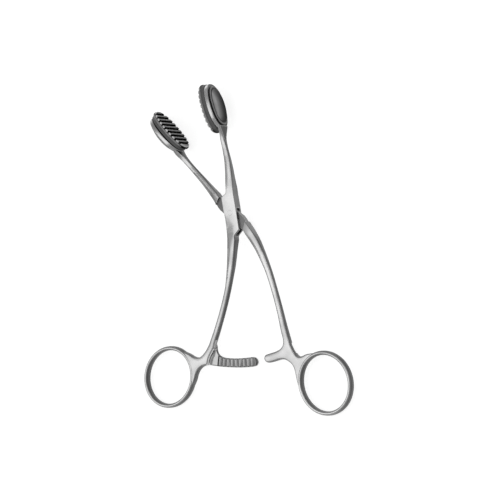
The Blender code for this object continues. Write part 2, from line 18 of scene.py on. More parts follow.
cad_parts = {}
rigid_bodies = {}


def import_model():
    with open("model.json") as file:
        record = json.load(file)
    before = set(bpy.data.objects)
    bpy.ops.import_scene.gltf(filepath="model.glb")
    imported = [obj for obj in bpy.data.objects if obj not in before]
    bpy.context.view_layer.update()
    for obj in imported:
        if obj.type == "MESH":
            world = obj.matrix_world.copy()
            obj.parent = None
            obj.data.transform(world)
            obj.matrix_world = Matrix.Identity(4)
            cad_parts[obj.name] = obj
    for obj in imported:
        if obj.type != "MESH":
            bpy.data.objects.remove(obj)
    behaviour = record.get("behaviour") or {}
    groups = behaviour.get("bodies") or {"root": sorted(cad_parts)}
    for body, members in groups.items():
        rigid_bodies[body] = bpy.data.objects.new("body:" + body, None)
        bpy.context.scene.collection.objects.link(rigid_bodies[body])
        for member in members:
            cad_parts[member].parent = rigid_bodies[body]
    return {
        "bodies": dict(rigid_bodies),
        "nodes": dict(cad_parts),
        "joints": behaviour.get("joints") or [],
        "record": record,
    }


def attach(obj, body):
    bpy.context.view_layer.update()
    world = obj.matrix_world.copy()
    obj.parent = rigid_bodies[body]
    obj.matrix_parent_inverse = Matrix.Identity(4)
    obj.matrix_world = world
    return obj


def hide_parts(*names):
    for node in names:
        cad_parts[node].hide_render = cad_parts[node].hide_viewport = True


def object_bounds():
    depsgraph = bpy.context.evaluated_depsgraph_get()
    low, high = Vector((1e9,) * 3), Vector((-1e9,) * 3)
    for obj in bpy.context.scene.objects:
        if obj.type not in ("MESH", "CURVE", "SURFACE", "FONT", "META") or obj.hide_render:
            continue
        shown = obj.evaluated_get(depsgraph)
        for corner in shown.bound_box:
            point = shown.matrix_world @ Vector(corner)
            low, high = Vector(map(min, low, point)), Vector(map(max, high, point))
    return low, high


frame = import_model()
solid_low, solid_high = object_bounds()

MM = 0.001

# Pose: how far each half is turned anticlockwise
BOX_LEAN = 10.5
TONGUE_LEAN = 35.5

# How far cutters reach past the steel, and past the ratchet bar's edges
CUTTER_REACH = 8.0
CUTTER_MARGIN = 1.5

# Lock
LOCK_HALF_WIDTH = 3.7
TONGUE_SHOULDER = 4.6
LOCK_HALF = 2.7
TONGUE_HALF = 1.3
SIDE_CLEARANCE = 0.1
STEP_CLEARANCE = 0.15
PIN_RADIUS = 1.3
PIN_SEAT_CLEARANCE = 0.02
PIN_RUNNING_CLEARANCE = 0.06
PIN_SIDES = 32
UPPER_CHAMFER = ((-3.7, 8.7), (-1.5, 9.85))
LOWER_CHAMFER = ((3.7, -9.1), (0.7, -11.4))
WALL_TOP = (-0.15, 11.0)
WALL_KNEE = (2.75, 2.2)
WALL_FOOT = (3.7, 1.85)
SLOT_END = 13.0

# Ratchet
BAR_FRONT = -0.65
BAR_REAR = -2.6
RATCHET_CLEARANCE = 0.1
TOOTH_DEPTH = 0.65
TOOTH_PITCH = 1.78
BAR_TEETH = 10
STUB_TEETH = 3
TEETH_START = -6.6
STUB_TEETH_START = 14.9
TOOTH_STEP = 0.3
TOOTH_LAND = 0.5
RATCHET_INNER = 73.1
RATCHET_OUTER = 78.9
RELIEF_ANGLES = (13.0, 32.0)
TIP_ANGLE = 9.2

# Finger rings
RING_HOLE_HALF = (12.65, 14.05)
RING_BAND = 2.15
BOX_RING_CENTRE = (-37.2, -84.1)
BOX_RING_LEAN = -26.0
TONGUE_RING_CENTRE = (53.4, -84.35)
TONGUE_RING_LEAN = 21.0
BOX_RING_ARC = (360.0, 84.0)
TONGUE_RING_ARC = (88.0, -187.0)

# Finger rings' bands over their webs
RING_HALF_HEIGHT = 2.3
RING_POWER = 2.4
WEB_SETBACK = 0.5
WEB_OVERLAP = 0.45
WEB_EDGE = 0.5
WEB_EDGE_GROWTH = 0.25
BAND_MIDDLE = 1.1
BAND_REACH = 1.0

# Hollow slope above the ratchet bar
STEP_RAMP = 1.78
RAMP_GROWTH = (0.1, 2.2)
RAMP_TOP = 1.4
RAMP_START = 0.3
RAMP_BACK = 0.8
RAMP_OVERLAP = 0.03
RAMP_SINK = 0.6
RAMP_POINTS = 10

# Jaw frames
FRAME_HALF_LENGTH = 12.0
FRAME_HALF_WIDTH = 7.75
FRAME_BAND = 2.4
FRAME_HALF_THICKNESS = 1.0
FRAME_EDGE = 0.5
FRAME_STANDOFF = 4.3
JAW_LEAN = 8.2
JAW_MIDDLE = (-4.1, 55.1)
BOX_FRAME_SHIFT = -0.6
TONGUE_FRAME_SHIFT = 1.1
OVAL_POWER = 2.25

# Facets ground on the shanks: a ridge line, and the slopes beside it, each at a place along the half
UPPER_RIDGE = ((11.0, -1.2), (16.7, -1.95), (24.0, -3.7), (31.0, -5.4), (38.0, -6.7))
UPPER_FACETS = (((11.0, 0.28), (16.0, 0.35), (22.0, 0.32), (30.0, 0.12), (38.0, 0.0)),
                ((11.0, 0.35), (20.0, 0.35), (30.0, 0.15), (38.0, 0.0)))
BOX_RIDGE = ((-60.0, -21.0), (-37.8, -9.2), (-28.2, -5.7), (-23.3, -3.9), (-16.0, -1.2), (-10.0, 0.6),
             (-6.0, 0.9), (-1.0, -1.2), (5.0, -3.6))
BOX_FACET = ((-60.0, 0.0), (-36.0, 0.0), (-26.0, 0.08), (-18.0, 0.22), (-7.0, 0.27), (-1.0, 0.17), (5.0, 0.0))
BOX_SWELL = ((-36.0, 0.0), (-24.0, 0.4), (-9.0, 0.6), (-5.0, 0.4))
TONGUE_RIDGE = ((-35.0, 0.8), (-24.5, 2.7), (-13.2, 3.3), (-4.0, 3.3))
TONGUE_FACET = ((-35.0, 0.0), (-24.0, 0.08), (-14.0, 0.15), (-9.0, 0.15), (-4.0, 0.0))
RIDGE_ROUND = 0.6

# Rubber inserts
SEAT_GAP = 0.3
PAD_HALF_LENGTH = FRAME_HALF_LENGTH + 1.1
PAD_HALF_WIDTH = FRAME_HALF_WIDTH - 0.25
PAD_RISE = 3.9
WAIST_DEPTH = 0.6
LIP_HEIGHT = 1.0
LIP_SLOPE = 0.5
RIB_PITCH = 2.6
GROOVES = 9
GROOVE_DEPTH = 1.8
GROOVE_TOP = 1.4
GROOVE_BOTTOM = 1.0
GROOVE_OVERRUN = 0.1
RIM_WIDTH = 0.45
RIM_DROP = 0.75
BUTTON_OVERLAP = 0.75
BUTTON_HEIGHT = 2.75

# Fineness of the visible surfaces
EDGE_STEPS = 5
BAR_EDGE_STEPS = 4
RING_POINTS = 120
RING_ARC_POINTS = 96
RING_SECTION_POINTS = 28
RELIEF_POINTS = 30
OVAL_POINTS = 96
SHANK_SPACING = 1.0
FILLET_SPACING = 0.6
CAP_SPACING = 0.55
GRID_ROW = 0.866
GRID_MARGIN = 0.45
DOME_SPACING = 0.04
GROOVE_SPACING = 0.12
CHAMFER_SPACING = 0.3
CROWN_WIDTH = 1.6
SHARP_ANGLE = 30.0

# Camera, from the pivot of the lock
CAMERA_AZIMUTH = 30.0
CAMERA_DISTANCE = 1050.0
CAMERA_RIGHT = 8.85
CAMERA_UP = -18.72
FRAME_WIDTH = 253.0
SENSOR = 36.0
CAMERA_REACH = 20.0

# Studio
FLOOR_RADIUS = 4.0
FLOOR_SIDES = 64
FLOOR_DROP = 0.0001
FLOOR_GREY = 0.6
FLOOR_GLOW = 0.75
SKY_BRIGHT_SIDE = (-0.27, 0.03, 0.96)
SKY_SPREAD = (0.80, 0.985)
SKY_BRIGHT = 0.46
SKY_DIM = 0.36
KEY_SIDE = (-0.30, -0.12, 0.94)
KEY_DISTANCE = 0.85
KEY_SIZE = (0.6, 1.35)
KEY_RADIANCE = 0.80
FILL_SIDE = (0.6, 0.45, 0.65)
FILL_DISTANCE = 1.0
FILL_SIZE = (0.4, 0.4)
FILL_RADIANCE = 1.4

# Greys of the steel, painted by how squarely each face meets the half's axis: painted shade on its sides, a
# little lighter where they stand square, and painted light on its broad faces; then the painted shade
# (positive) or painted light (negative) that each area takes off that facing
STEEL_PAINTED_FACING_TONES = ((0.0, 0.20), (0.1, 0.14), (0.28, 0.09), (0.5, 0.14), (0.8, 0.45), (0.96, 0.70))
# Painted shade on the flats recessed beside the lock, above and below the pivot
UPPER_RECESS_PAINTED_SHADE = 0.53
LOWER_RECESS_PAINTED_SHADE = 0.45
# Painted shade on the tongue half's shoulder, deepest nearest the lock
SHOULDER_PAINTED_SHADE = ((-26.0, 0.0), (-15.0, 0.12), (-9.0, 0.35))
# Painted shade on the facet to the left of the tongue half's upper ridge
FACET_PAINTED_SHADE = 0.14
# Painted light on the jaws' broad faces, with painted shade on their flat sides
JAW_PAINTED_LIGHT = -0.32
# Painted light on the box's side walls beside the slot
WALL_PAINTED_LIGHT = -1.3
# Painted shade on the lower shanks' flat sides, lightening their other faces a little
LOWER_SIDE_PAINTED_SHADE = -0.08
# Painted shade on the ratchet bar's teeth, deeper towards its tip and its outer edge
BAR_PAINTED_SHADES = (0.14, 0.3)
# Painted light on the hollow step that leads down to the ratchet bar
STEP_PAINTED_LIGHT = -0.62
# Painted shade on the ratchet bar's tip
TIP_PAINTED_SHADE = 0.45
WORN_SPREAD = (0.995, 0.90)
WORN_SHARE = 0.5
WORN_GREY = 0.70
GRINDING_SCALE = (4200, 260, 4200)

# Those areas, in the half's frame or, for the ratchet bar and the step above it, in the drawn pose
SURFACE_MARGIN = 0.05
WALL_LENGTH = 9.0
WALL_MARGIN = 0.3
STEP_ACROSS = (-14.5, -8.0)
STEP_TOP = -65.0
STEP_FACING = 0.1
STEP_MARGIN = 0.02
BAR_TOP = -70.0
SHOULDER_START = -26.0
FACET_REACH = (8.0, 30.0)
FACET_MARGIN = 0.3
JAW_REACH = 6.0
LOWER_SIDE_START = -14.0

# Greys of the rubber: its own grey on the ribs and the lip's side, painted highlights on the rim, the dome's
# crescent and the lip round the dome, and painted shade in the waist, the grooves, the groove round the dome
# and the dome's far side
# Painted light across the button's dome: painted shade on one side, a painted highlight crescent near the
# other edge
DOME_PAINTED_LIGHT_TONES = ((-0.3, 0.02), (-0.1, 0.04), (0.1, 0.08), (0.3, 0.16), (0.5, 0.34), (0.68, 0.62), (0.8, 0.50),
              (0.9, 0.2))
# Painted shade in the groove round the button's dome and a painted highlight on the lip outside it
LIP_PAINTED_HIGHLIGHT = 0.36
LEDGE_PAINTED_LIGHT_TONES = ((0.87, 0.08), (0.91, 0.08), (0.94, LIP_PAINTED_HIGHLIGHT))
RIB_TONE = 0.31
# Painted highlight on the pad's rim
RIM_PAINTED_HIGHLIGHT = 0.90
SIDE_TONE = 0.34
# Painted shade in the waist under the pad's lip
WAIST_PAINTED_SHADE = 0.17
# Black painted shade in the pad's grooves
GROOVE_PAINTED_SHADE = 0.01

# Where they change, in millimetres of height and as shares of the ribbed oval or of the button
RIB_FRONT_DEPTH = 0.03
GROOVE_MARGIN = 0.1
RIM_MARGIN = 0.2
RIB_SHARE = 0.985
GROOVE_SHARE = 0.95
RIM_SHARE = 1.04
DOME_SHARE = 0.86


# Points and curves

def turned(point, degrees):
    angle = math.radians(degrees)
    x, y = point
    return (x * math.cos(angle) - y * math.sin(angle), x * math.sin(angle) + y * math.cos(angle))


def own(points, lean):
    """Points of the drawn pose, in the half's own frame."""
    return [turned(p, -lean) for p in points]


def curve(points, spacing):
    """A smooth line through the points, with new points about this far apart."""
    given = [np.array(p, float) for p in points]
    padded = [2 * given[0] - given[1]] + given + [2 * given[-1] - given[-2]]
    found = [given[0]]
    for i in range(len(given) - 1):
        a, b, c, d = padded[i:i + 4]
        count = max(1, round(float(np.linalg.norm((c - b)[:2])) / spacing))
        for k in range(1, count + 1):
            t = k / count
            found.append(0.5 * (2 * b + (c - a) * t + (2 * a - 5 * b + 4 * c - d) * t * t
                                + (3 * b - a - 3 * c + d) * t ** 3))
    return [tuple(map(float, p)) for p in found]


def rails(centre_line, spacing):
    """The left and right edges of a shank given as (x, y, width) from the lock outwards."""
    line = np.array(curve(centre_line, spacing))
    along = np.gradient(line[:, :2], axis=0)
    along /= np.linalg.norm(along, axis=1)[:, None]
    across = np.stack([-along[:, 1], along[:, 0]], axis=1)
    left = line[:, :2] + across * line[:, 2:] / 2
    right = line[:, :2] - across * line[:, 2:] / 2
    return [tuple(map(float, p)) for p in left], [tuple(map(float, p)) for p in right]


def ellipse(centre, half, lean, start, end, count):
    """Points of an ellipse whose long axis leans by this angle from y, between two angles at its centre."""
    found = []
    for k in range(count):
        angle = math.radians(start + (end - start) * k / (count - 1))
        p = turned((half[0] * math.cos(angle), half[1] * math.sin(angle)), lean)
        found.append((centre[0] + p[0], centre[1] + p[1]))
    return found


def oval(half_length, half_width, count=OVAL_POINTS):
    """A closed oval a little fuller than an ellipse, its length along x."""
    found = []
    for k in range(count):
        angle = 2 * math.pi * k / count
        c, s = math.cos(angle), math.sin(angle)
        found.append((half_length * math.copysign(abs(c) ** (2 / OVAL_POWER), c),
                      half_width * math.copysign(abs(s) ** (2 / OVAL_POWER), s)))
    return found


def table(*pairs):
    """A function that runs straight between the pairs given."""
    places, values = zip(*pairs)
    return lambda place: float(np.interp(place, places, values))


def area(loop):
    p = np.array(loop)
    q = np.roll(p, -1, axis=0)
    return float((p[:, 0] * q[:, 1] - q[:, 0] * p[:, 1]).sum() / 2)


def spaced(loop, least=0.05):
    """The closed loop without points that nearly coincide, anticlockwise."""
    kept = []
    for p in loop:
        if not kept or math.dist(p, kept[-1]) > least:
            kept.append(p)
    if math.dist(kept[0], kept[-1]) <= least:
        kept.pop()
    return kept if area(kept) > 0 else kept[::-1]


def inward(loop):
    """The mitred step to the left of each point, for an offset of one."""
    p = np.array(loop)
    before = p - np.roll(p, 1, axis=0)
    after = np.roll(p, -1, axis=0) - p
    before /= np.linalg.norm(before, axis=1)[:, None]
    after /= np.linalg.norm(after, axis=1)[:, None]
    n1 = np.stack([-before[:, 1], before[:, 0]], axis=1)
    n2 = np.stack([-after[:, 1], after[:, 0]], axis=1)
    return (n1 + n2) / np.maximum(1 + (n1 * n2).sum(axis=1), 0.5)[:, None]


# Meshes

def inside(loop, spots):
    """Which spots lie within the closed loop."""
    a = np.array(loop)
    b = np.roll(a, -1, axis=0)
    found = np.zeros(len(spots), bool)
    for (x1, y1), (x2, y2) in zip(a, b):
        if y1 != y2:
            crossed = (y1 > spots[:, 1]) != (y2 > spots[:, 1])
            found ^= crossed & (spots[:, 0] < x1 + (spots[:, 1] - y1) * (x2 - x1) / (y2 - y1))
    return found


def clearance(loops, spots):
    """How far each spot is from the nearest edge of the loops."""
    least = np.full(len(spots), np.inf)
    for loop in loops:
        a = np.array(loop)
        for p, q in zip(a, np.roll(a, -1, axis=0)):
            along = q - p
            share = np.clip(((spots - p) @ along) / max(along @ along, 1e-12), 0, 1)
            least = np.minimum(least, np.linalg.norm(spots - p - share[:, None] * along, axis=1))
    return least


def honeycomb(loops, spacing):
    """Spots of an even grid within the first loop and outside the others, clear of their edges."""
    low, high = np.min(loops[0], axis=0), np.max(loops[0], axis=0)
    rows = np.arange(low[1], high[1], spacing * GRID_ROW)
    columns = np.arange(low[0], high[0], spacing)
    spots = np.array([(x + (k % 2) * spacing / 2, y) for k, y in enumerate(rows) for x in columns])
    kept = inside(loops[0], spots)
    for loop in loops[1:]:
        kept &= ~inside(loop, spots)
    spots = spots[kept]
    return spots[clearance(loops, spots) > spacing * GRID_MARGIN]


def linked(name, data):
    made = bpy.data.objects.new(name, data)
    bpy.context.scene.collection.objects.link(made)
    return made


def new_object(name, points, faces):
    mesh = bpy.data.meshes.new(name)
    mesh.from_pydata([Vector(p) * MM for p in points], [], faces)
    work = bmesh.new()
    work.from_mesh(mesh)
    bmesh.ops.recalc_face_normals(work, faces=work.faces)
    work.to_mesh(mesh)
    work.free()
    return linked(name, mesh)


def bands(rows, count, base=0):
    """Quads that join closed loops of this many points, each loop to the next, from this point number on."""
    faces = []
    for row in range(rows - 1):
        low, high = base + row * count, base + (row + 1) * count
        for i in range(count):
            j = (i + 1) % count
            faces.append((low + i, low + j, high + j, high + i))
    return faces


def plate(name, outline, front, rear, edge, hole=None, crown=None, place=None, steps=EDGE_STEPS):
    """A forging of this plan. Front, rear and edge give its face heights and edge radius at a point, and
    crown the fall of its faces towards the edge."""
    loops = [spaced(outline)]
    if hole:
        loops.append(spaced(hole)[::-1])
    fall = crown or (lambda x, y: 0.0)
    points, faces, front_cap, rear_cap = [], [], [], []
    for loop in loops:
        step = inward(loop)
        count = len(loop)
        base = len(points)
        for side in (-1, 1):
            order = range(steps, -1, -1) if side < 0 else range(steps + 1)
            for k in order:
                angle = math.pi / 2 * k / steps
                for (x, y), (sx, sy) in zip(loop, step):
                    r = edge(x, y)
                    d = r * (1 - math.cos(angle))
                    face = front(x, y) if side > 0 else rear(x, y)
                    height = face - side * (fall(x, y) + r * (1 - math.sin(angle)))
                    points.append((x + sx * d, y + sy * d, height))
        rows = 2 * (steps + 1)
        faces += bands(rows, count, base)
        rear_cap.append(list(range(base, base + count)))
        front_cap.append(list(range(base + (rows - 1) * count, base + rows * count)))
    for side, cap in ((-1, rear_cap), (1, front_cap)):
        flat = [i for ring in cap for i in ring]
        bounds = [[points[i][:2] for i in ring] for ring in cap]
        spots = honeycomb(bounds, CAP_SPACING)
        away = clearance(bounds, spots)
        borders = []
        start = 0
        for ring in cap:
            borders += [(start + i, start + (i + 1) % len(ring)) for i in range(len(ring))]
            start += len(ring)
        plan = [Vector(points[i][:2]) for i in flat] + [Vector(p) for p in spots]
        numbers = flat + list(range(len(points), len(points) + len(spots)))
        for (x, y), d in zip(spots, away):
            face = front(x, y) if side > 0 else rear(x, y)
            points.append((x, y, face - side * fall(x, y) * (1 - min(d / CROWN_WIDTH, 1)) ** 2))
        _, _, triangles, source, _, _ = delaunay_2d_cdt(plan, borders, [], 0, 1e-6)
        corners = np.array([[numbers[source[i][0]] for i in triangle] for triangle in triangles])
        xy = np.array([p[:2] for p in points])
        middles = xy[corners].mean(axis=1)
        kept = inside(bounds[0], middles)
        for ring in bounds[1:]:
            kept &= ~inside(ring, middles)
        faces += [tuple(map(int, c)) for c in corners[kept]]
    if place is not None:
        points = [tuple(place @ Vector(p)) for p in points]
    return new_object(name, points, faces)


def prism(name, outline, low, high):
    loop = spaced(outline)
    count = len(loop)
    points = [(x, y, low) for x, y in loop] + [(x, y, high) for x, y in loop]
    caps = [tuple(range(count)), tuple(range(count, 2 * count))]
    return new_object(name, points, caps + bands(2, count))


def stacked(name, loops, place):
    """Closed loops with equal counts joined one above the next and closed at both ends."""
    count = len(loops[0])
    points = [tuple(place @ Vector(p)) for loop in loops for p in loop]
    caps = [tuple(range(count)), tuple(range((len(loops) - 1) * count, len(loops) * count))]
    return new_object(name, points, caps + bands(len(loops), count))


def combine(target, tool, operation):
    change = target.modifiers.new(f"{operation.lower()} {tool.name}", "BOOLEAN")
    change.operation = operation
    change.solver = "EXACT"
    change.object = tool
    helpers.append(tool)


def finished(made, name, lean):
    """The object with its modifiers applied, shaded smooth and laid at its place in the model."""
    graph = bpy.context.evaluated_depsgraph_get()
    mesh = bpy.data.meshes.new_from_object(made.evaluated_get(graph))
    mesh.transform(ROOT @ Matrix.Rotation(math.radians(lean), 4, "Z"))
    for polygon in mesh.polygons:
        polygon.use_smooth = True
    mesh.set_sharp_from_angle(angle=math.radians(SHARP_ANGLE))
    mesh.name = name
    bpy.data.objects.remove(made)
    while helpers:
        bpy.data.objects.remove(helpers.pop())
    return linked(name, mesh)


def saw(start, teeth, low):
    """A ratchet's saw line as angle and height, low at both ends, with a narrow land on each tooth."""
    line = [(start, low)]
    for k in range(teeth):
        crest = start + k * TOOTH_PITCH + TOOTH_STEP
        line += [(crest, low + TOOTH_DEPTH), (crest + TOOTH_LAND, low + TOOTH_DEPTH),
                 (start + (k + 1) * TOOTH_PITCH, low)]
    return line


def saw_cutter(name, line, far_side, lean):
    """Cuts everything between a saw line and a height. Angles are about the pivot, from the drawn -y axis."""
    points = []
    for degrees, height in line:
        angle = math.radians(degrees)
        inner, outer = RATCHET_INNER - CUTTER_MARGIN, RATCHET_OUTER + CUTTER_MARGIN
        for r, z in ((inner, height), (outer, height), (outer, far_side), (inner, far_side)):
            points.append((*turned((r * math.sin(angle), -r * math.cos(angle)), -lean), z))
    caps = [(0, 1, 2, 3), tuple(range(len(points) - 4, len(points)))]
    return new_object(name, points, caps + bands(len(line), 4))


# Shared shapes

FRAME_FOOT = JAW_MIDDLE[1] - FRAME_HALF_LENGTH * math.cos(math.radians(JAW_LEAN))
half_thickness = table((-200, 2.15), (-72, 2.15), (-62, 2.0), (-50, 1.85), (-36, 1.95), (-22, 2.35),
                       (-13, LOCK_HALF - 0.05), (-11, LOCK_HALF), (10, LOCK_HALF), (13, LOCK_HALF - 0.1),
                       (22, 2.05), (29, 1.5), (FRAME_FOOT - 10.0, 1.4), (FRAME_FOOT - 7.0, 1.6),
                       (FRAME_FOOT - 4.5, 2.05), (FRAME_FOOT - 2.5, 2.65), (FRAME_FOOT - 1.0, 3.3),
                       (FRAME_FOOT + 0.5, 3.9), (FRAME_FOOT + 2.0, 4.4))
edge_radius = table((-200, 0.95), (-70, 0.95), (-60, 1.35), (-34, 1.35), (-24, 1.15), (-13.5, 0.4),
                    (-11, 0.3), (10, 0.3), (12, 0.4), (20, 0.8), (44, 0.8))
bar_edge_radius = table((-200, 0.75), (-70.5, 0.75), (-68.5, 0.3))
crown_fall = table((-200, 0.14), (-66, 0.14), (-58, 0.22), (-18, 0.25), (-12, 0.0), (12, 0.0), (18, 0.25),
                   (40, 0.2), (44, 0.0))


def slope_side(distance):
    """A distance that fades softly to nothing below zero."""
    return (distance + math.hypot(distance, RIDGE_ROUND)) / 2


def box_face(x, y):
    ridge, slope = table(*BOX_RIDGE)(y), table(*BOX_FACET)(y)
    return half_thickness(y) - slope * slope_side(ridge - x)


def tongue_face(x, y):
    if y > 8:
        ridge = table(*UPPER_RIDGE)(y)
        left, right = (table(*slope)(y) for slope in UPPER_FACETS)
        return half_thickness(y) - left * slope_side(ridge - x) - right * slope_side(x - ridge)
    ridge, slope = table(*TONGUE_RIDGE)(y), table(*TONGUE_FACET)(y)
    return half_thickness(y) - slope * slope_side(ridge - x)


def edges(centre, lean, half_lean):
    """The edge radius of a half, smaller where its plate runs inside the finger ring's band."""
    def radius(x, y):
        drawn = turned((x, y), half_lean)
        spot = turned((drawn[0] - centre[0], drawn[1] - centre[1]), -lean)
        share = math.hypot(spot[0] / (RING_HOLE_HALF[0] + BAND_MIDDLE),
                           spot[1] / (RING_HOLE_HALF[1] + BAND_MIDDLE))
        away = abs(share - 1) * RING_HOLE_HALF[0]
        return min(edge_radius(y), WEB_EDGE + WEB_EDGE_GROWTH * max(away - BAND_REACH, 0.0))
    return radius


def jaw_place(side, shift):
    """From a jaw frame's own axes (length, width, towards the other jaw) to its half's frame."""
    lean = math.radians(JAW_LEAN)
    along = Vector((-math.sin(lean), math.cos(lean), 0))
    facing = Vector((math.cos(lean), math.sin(lean), 0)) * side
    middle = Vector((*JAW_MIDDLE, 0)) - facing * FRAME_STANDOFF + along * shift
    across = facing.cross(along)
    return Matrix((
        (along.x, across.x, facing.x, middle.x),
        (along.y, across.y, facing.y, middle.y),
        (along.z, across.z, facing.z, middle.z),
        (0, 0, 0, 1),
    ))


def shank_end(place, past_foot, behind, width):
    """A shank's point, this far past the foot of its jaw frame and this far behind the frame's middle."""
    spot = place @ Vector((past_foot - FRAME_HALF_LENGTH, 0, -behind))
    return (spot.x, spot.y, width)


def crown(x, y):
    return crown_fall(y)


def jaw_frame(name, place):
    outer = oval(FRAME_HALF_LENGTH, FRAME_HALF_WIDTH)
    window = oval(FRAME_HALF_LENGTH - FRAME_BAND, FRAME_HALF_WIDTH - FRAME_BAND)
    return plate(name, outer, lambda x, y: FRAME_HALF_THICKNESS, lambda x, y: -FRAME_HALF_THICKNESS,
                 lambda x, y: FRAME_EDGE, hole=window, place=place)


def groove_profile(middle, top):
    """A groove's section with rounded rib edges and a rounded bottom, as place along the pad and height."""
    low = top - GROOVE_DEPTH
    half_top, half_bottom = GROOVE_TOP / 2, GROOVE_BOTTOM / 2
    side = curve([(half_bottom - 0.18, low), (half_bottom, low + 0.1), (half_bottom + 0.12, low + 0.3),
                  (half_top - 0.16, top - 0.22), (half_top, top - 0.06), (half_top + 0.25, top + 0.02),
                  (half_top + 0.3, top + 0.3)], GROOVE_SPACING)
    return [(middle + x, z) for x, z in side] + [(middle - x, z) for x, z in side[::-1]]


def insert(name, place):
    """One moulded rubber piece: stepped domed button behind, neck through the window, ribbed pad in front."""
    window = (FRAME_HALF_LENGTH - FRAME_BAND, FRAME_HALF_WIDTH - FRAME_BAND)
    neck = (window[0] - SEAT_GAP, window[1] - SEAT_GAP)
    button = (window[0] + BUTTON_OVERLAP, window[1] + BUTTON_OVERLAP)
    pad = (PAD_HALF_LENGTH, PAD_HALF_WIDTH)
    ribs = (PAD_HALF_LENGTH - RIM_WIDTH, PAD_HALF_WIDTH - RIM_WIDTH)
    back = -FRAME_HALF_THICKNESS - SEAT_GAP
    seat = FRAME_HALF_THICKNESS + SEAT_GAP
    top = FRAME_HALF_THICKNESS + PAD_RISE
    rim = top - RIM_DROP
    waist = rim - LIP_HEIGHT - LIP_SLOPE
    dome = [(0.02, 1.0), (0.17, 0.985), (0.34, 0.93), (0.50, 0.84), (0.64, 0.71), (0.75, 0.56),
            (0.815, 0.43), (0.845, 0.34), (0.86, 0.26), (0.875, 0.2), (0.895, 0.18), (0.92, 0.22),
            (0.95, 0.26), (0.98, 0.24), (1.0, 0.16), (0.995, 0.06), (0.97, 0.0)]
    loops = []
    for share, height in curve(dome, DOME_SPACING):
        loops.append([(x * share, y * share, back - height * BUTTON_HEIGHT) for x, y in oval(*button)])
    loops += [[(x, y, z) for x, y in oval(*neck)] for z in (back, seat)]
    side = [(-WAIST_DEPTH - 0.15, seat), (-WAIST_DEPTH, seat + 0.15), (-WAIST_DEPTH, waist - 0.1),
            (0.08 - WAIST_DEPTH, waist + 0.1), (-0.12, waist + 0.4), (0.0, waist + 0.6), (0.0, rim - 0.4),
            (-0.08, rim - 0.12), (-0.25, rim)]
    loops += [[(x, y, z) for x, y in oval(pad[0] + d, pad[1] + d)] for d, z in side]
    crest = [(0.05, rim), (0.0, rim + 0.1), (0.0, top - 0.3), (-0.08, top - 0.12), (-0.28, top), (-2.0, top)]
    loops += [[(x, y, z) for x, y in oval(ribs[0] + d, ribs[1] + d)] for d, z in crest]
    made = stacked(name, loops, place)

    def chord(x):
        share = (abs(x) / (ribs[0] + GROOVE_OVERRUN)) ** OVAL_POWER
        return (ribs[1] + GROOVE_OVERRUN) * max(0.0, 1 - share) ** (1 / OVAL_POWER)

    points, faces = [], []
    for k in range(GROOVES):
        profile = groove_profile((k - (GROOVES - 1) / 2) * RIB_PITCH, top)
        base = len(points)
        for side in (-1, 1):
            points += [tuple(place @ Vector((x, side * chord(x), z))) for x, z in profile]
        size = len(profile)
        faces += [tuple(range(base, base + size)), tuple(range(base + size, base + 2 * size))]
        faces += bands(2, size, base)
    combine(made, new_object(f"{name}_grooves", points, faces), "DIFFERENCE")
    return made


def ring_band(name, centre, lean, half_lean):
    """A finger ring's round band, standing a little over the web that joins it to the shank."""
    points = []
    size = RING_POINTS - 1
    for k in range(RING_SECTION_POINTS):
        angle = 2 * math.pi * k / RING_SECTION_POINTS
        c, s = math.cos(angle), math.sin(angle)
        out = RING_BAND / 2 * (1 + math.copysign(abs(c) ** (2 / RING_POWER), c))
        height = RING_HALF_HEIGHT * math.copysign(abs(s) ** (2 / RING_POWER), s)
        loop = ellipse(centre, (RING_HOLE_HALF[0] + out, RING_HOLE_HALF[1] + out), lean, 0, 360, RING_POINTS)
        points += [(x, y, height) for x, y in own(loop[:-1], half_lean)]
    last = len(points) - size
    closing = [(last + i, last + (i + 1) % size, (i + 1) % size, i) for i in range(size)]
    return new_object(name, points, bands(RING_SECTION_POINTS, size) + closing)


def web(centre, lean, arc, half_lean):
    """A finger ring's share of its web's outline, as drawn, and the hole in the web, in the half's frame."""
    outer = (RING_HOLE_HALF[0] + RING_BAND - WEB_OVERLAP, RING_HOLE_HALF[1] + RING_BAND - WEB_OVERLAP)
    inner = (RING_HOLE_HALF[0] + WEB_SETBACK, RING_HOLE_HALF[1] + WEB_SETBACK)
    hole = ellipse(centre, inner, lean, 0, 360, RING_POINTS)[:-1]
    return ellipse(centre, outer, lean, *arc, RING_ARC_POINTS), own(hole, half_lean)


def round_bar(name, radius, low, high):
    """A round bar on the pivot, its corners at this radius."""
    loop = [turned((radius, 0), 360 * k / PIN_SIDES) for k in range(PIN_SIDES)]
    return prism(name, loop, low, high)


# Box half

def step_ramp(line):
    """The hollow slope that leads from the half's front face down to the ratchet bar."""
    bottom = BAR_FRONT - RAMP_OVERLAP
    points = []
    for k, (x, y) in enumerate(line):
        reach = STEP_RAMP * min(1.0, RAMP_GROWTH[0] + RAMP_GROWTH[1] * k / (len(line) - 1))
        section = [(-RAMP_BACK, RAMP_TOP)]
        for angle in np.radians(np.linspace(0, 90, RAMP_POINTS)):
            section.append((RAMP_START + reach * (1 - math.cos(angle)),
                            bottom + (RAMP_TOP - bottom) * (1 - math.sin(angle))))
        section += [(RAMP_START + reach, bottom - RAMP_SINK), (-RAMP_BACK, bottom - RAMP_SINK)]
        points += [(*turned((x + across, y), -BOX_LEAN), z) for across, z in section]
    size = len(section)
    caps = [tuple(range(size)), tuple(range(len(points) - size, len(points)))]
    return new_object("step_ramp", points, caps + bands(len(line), size))


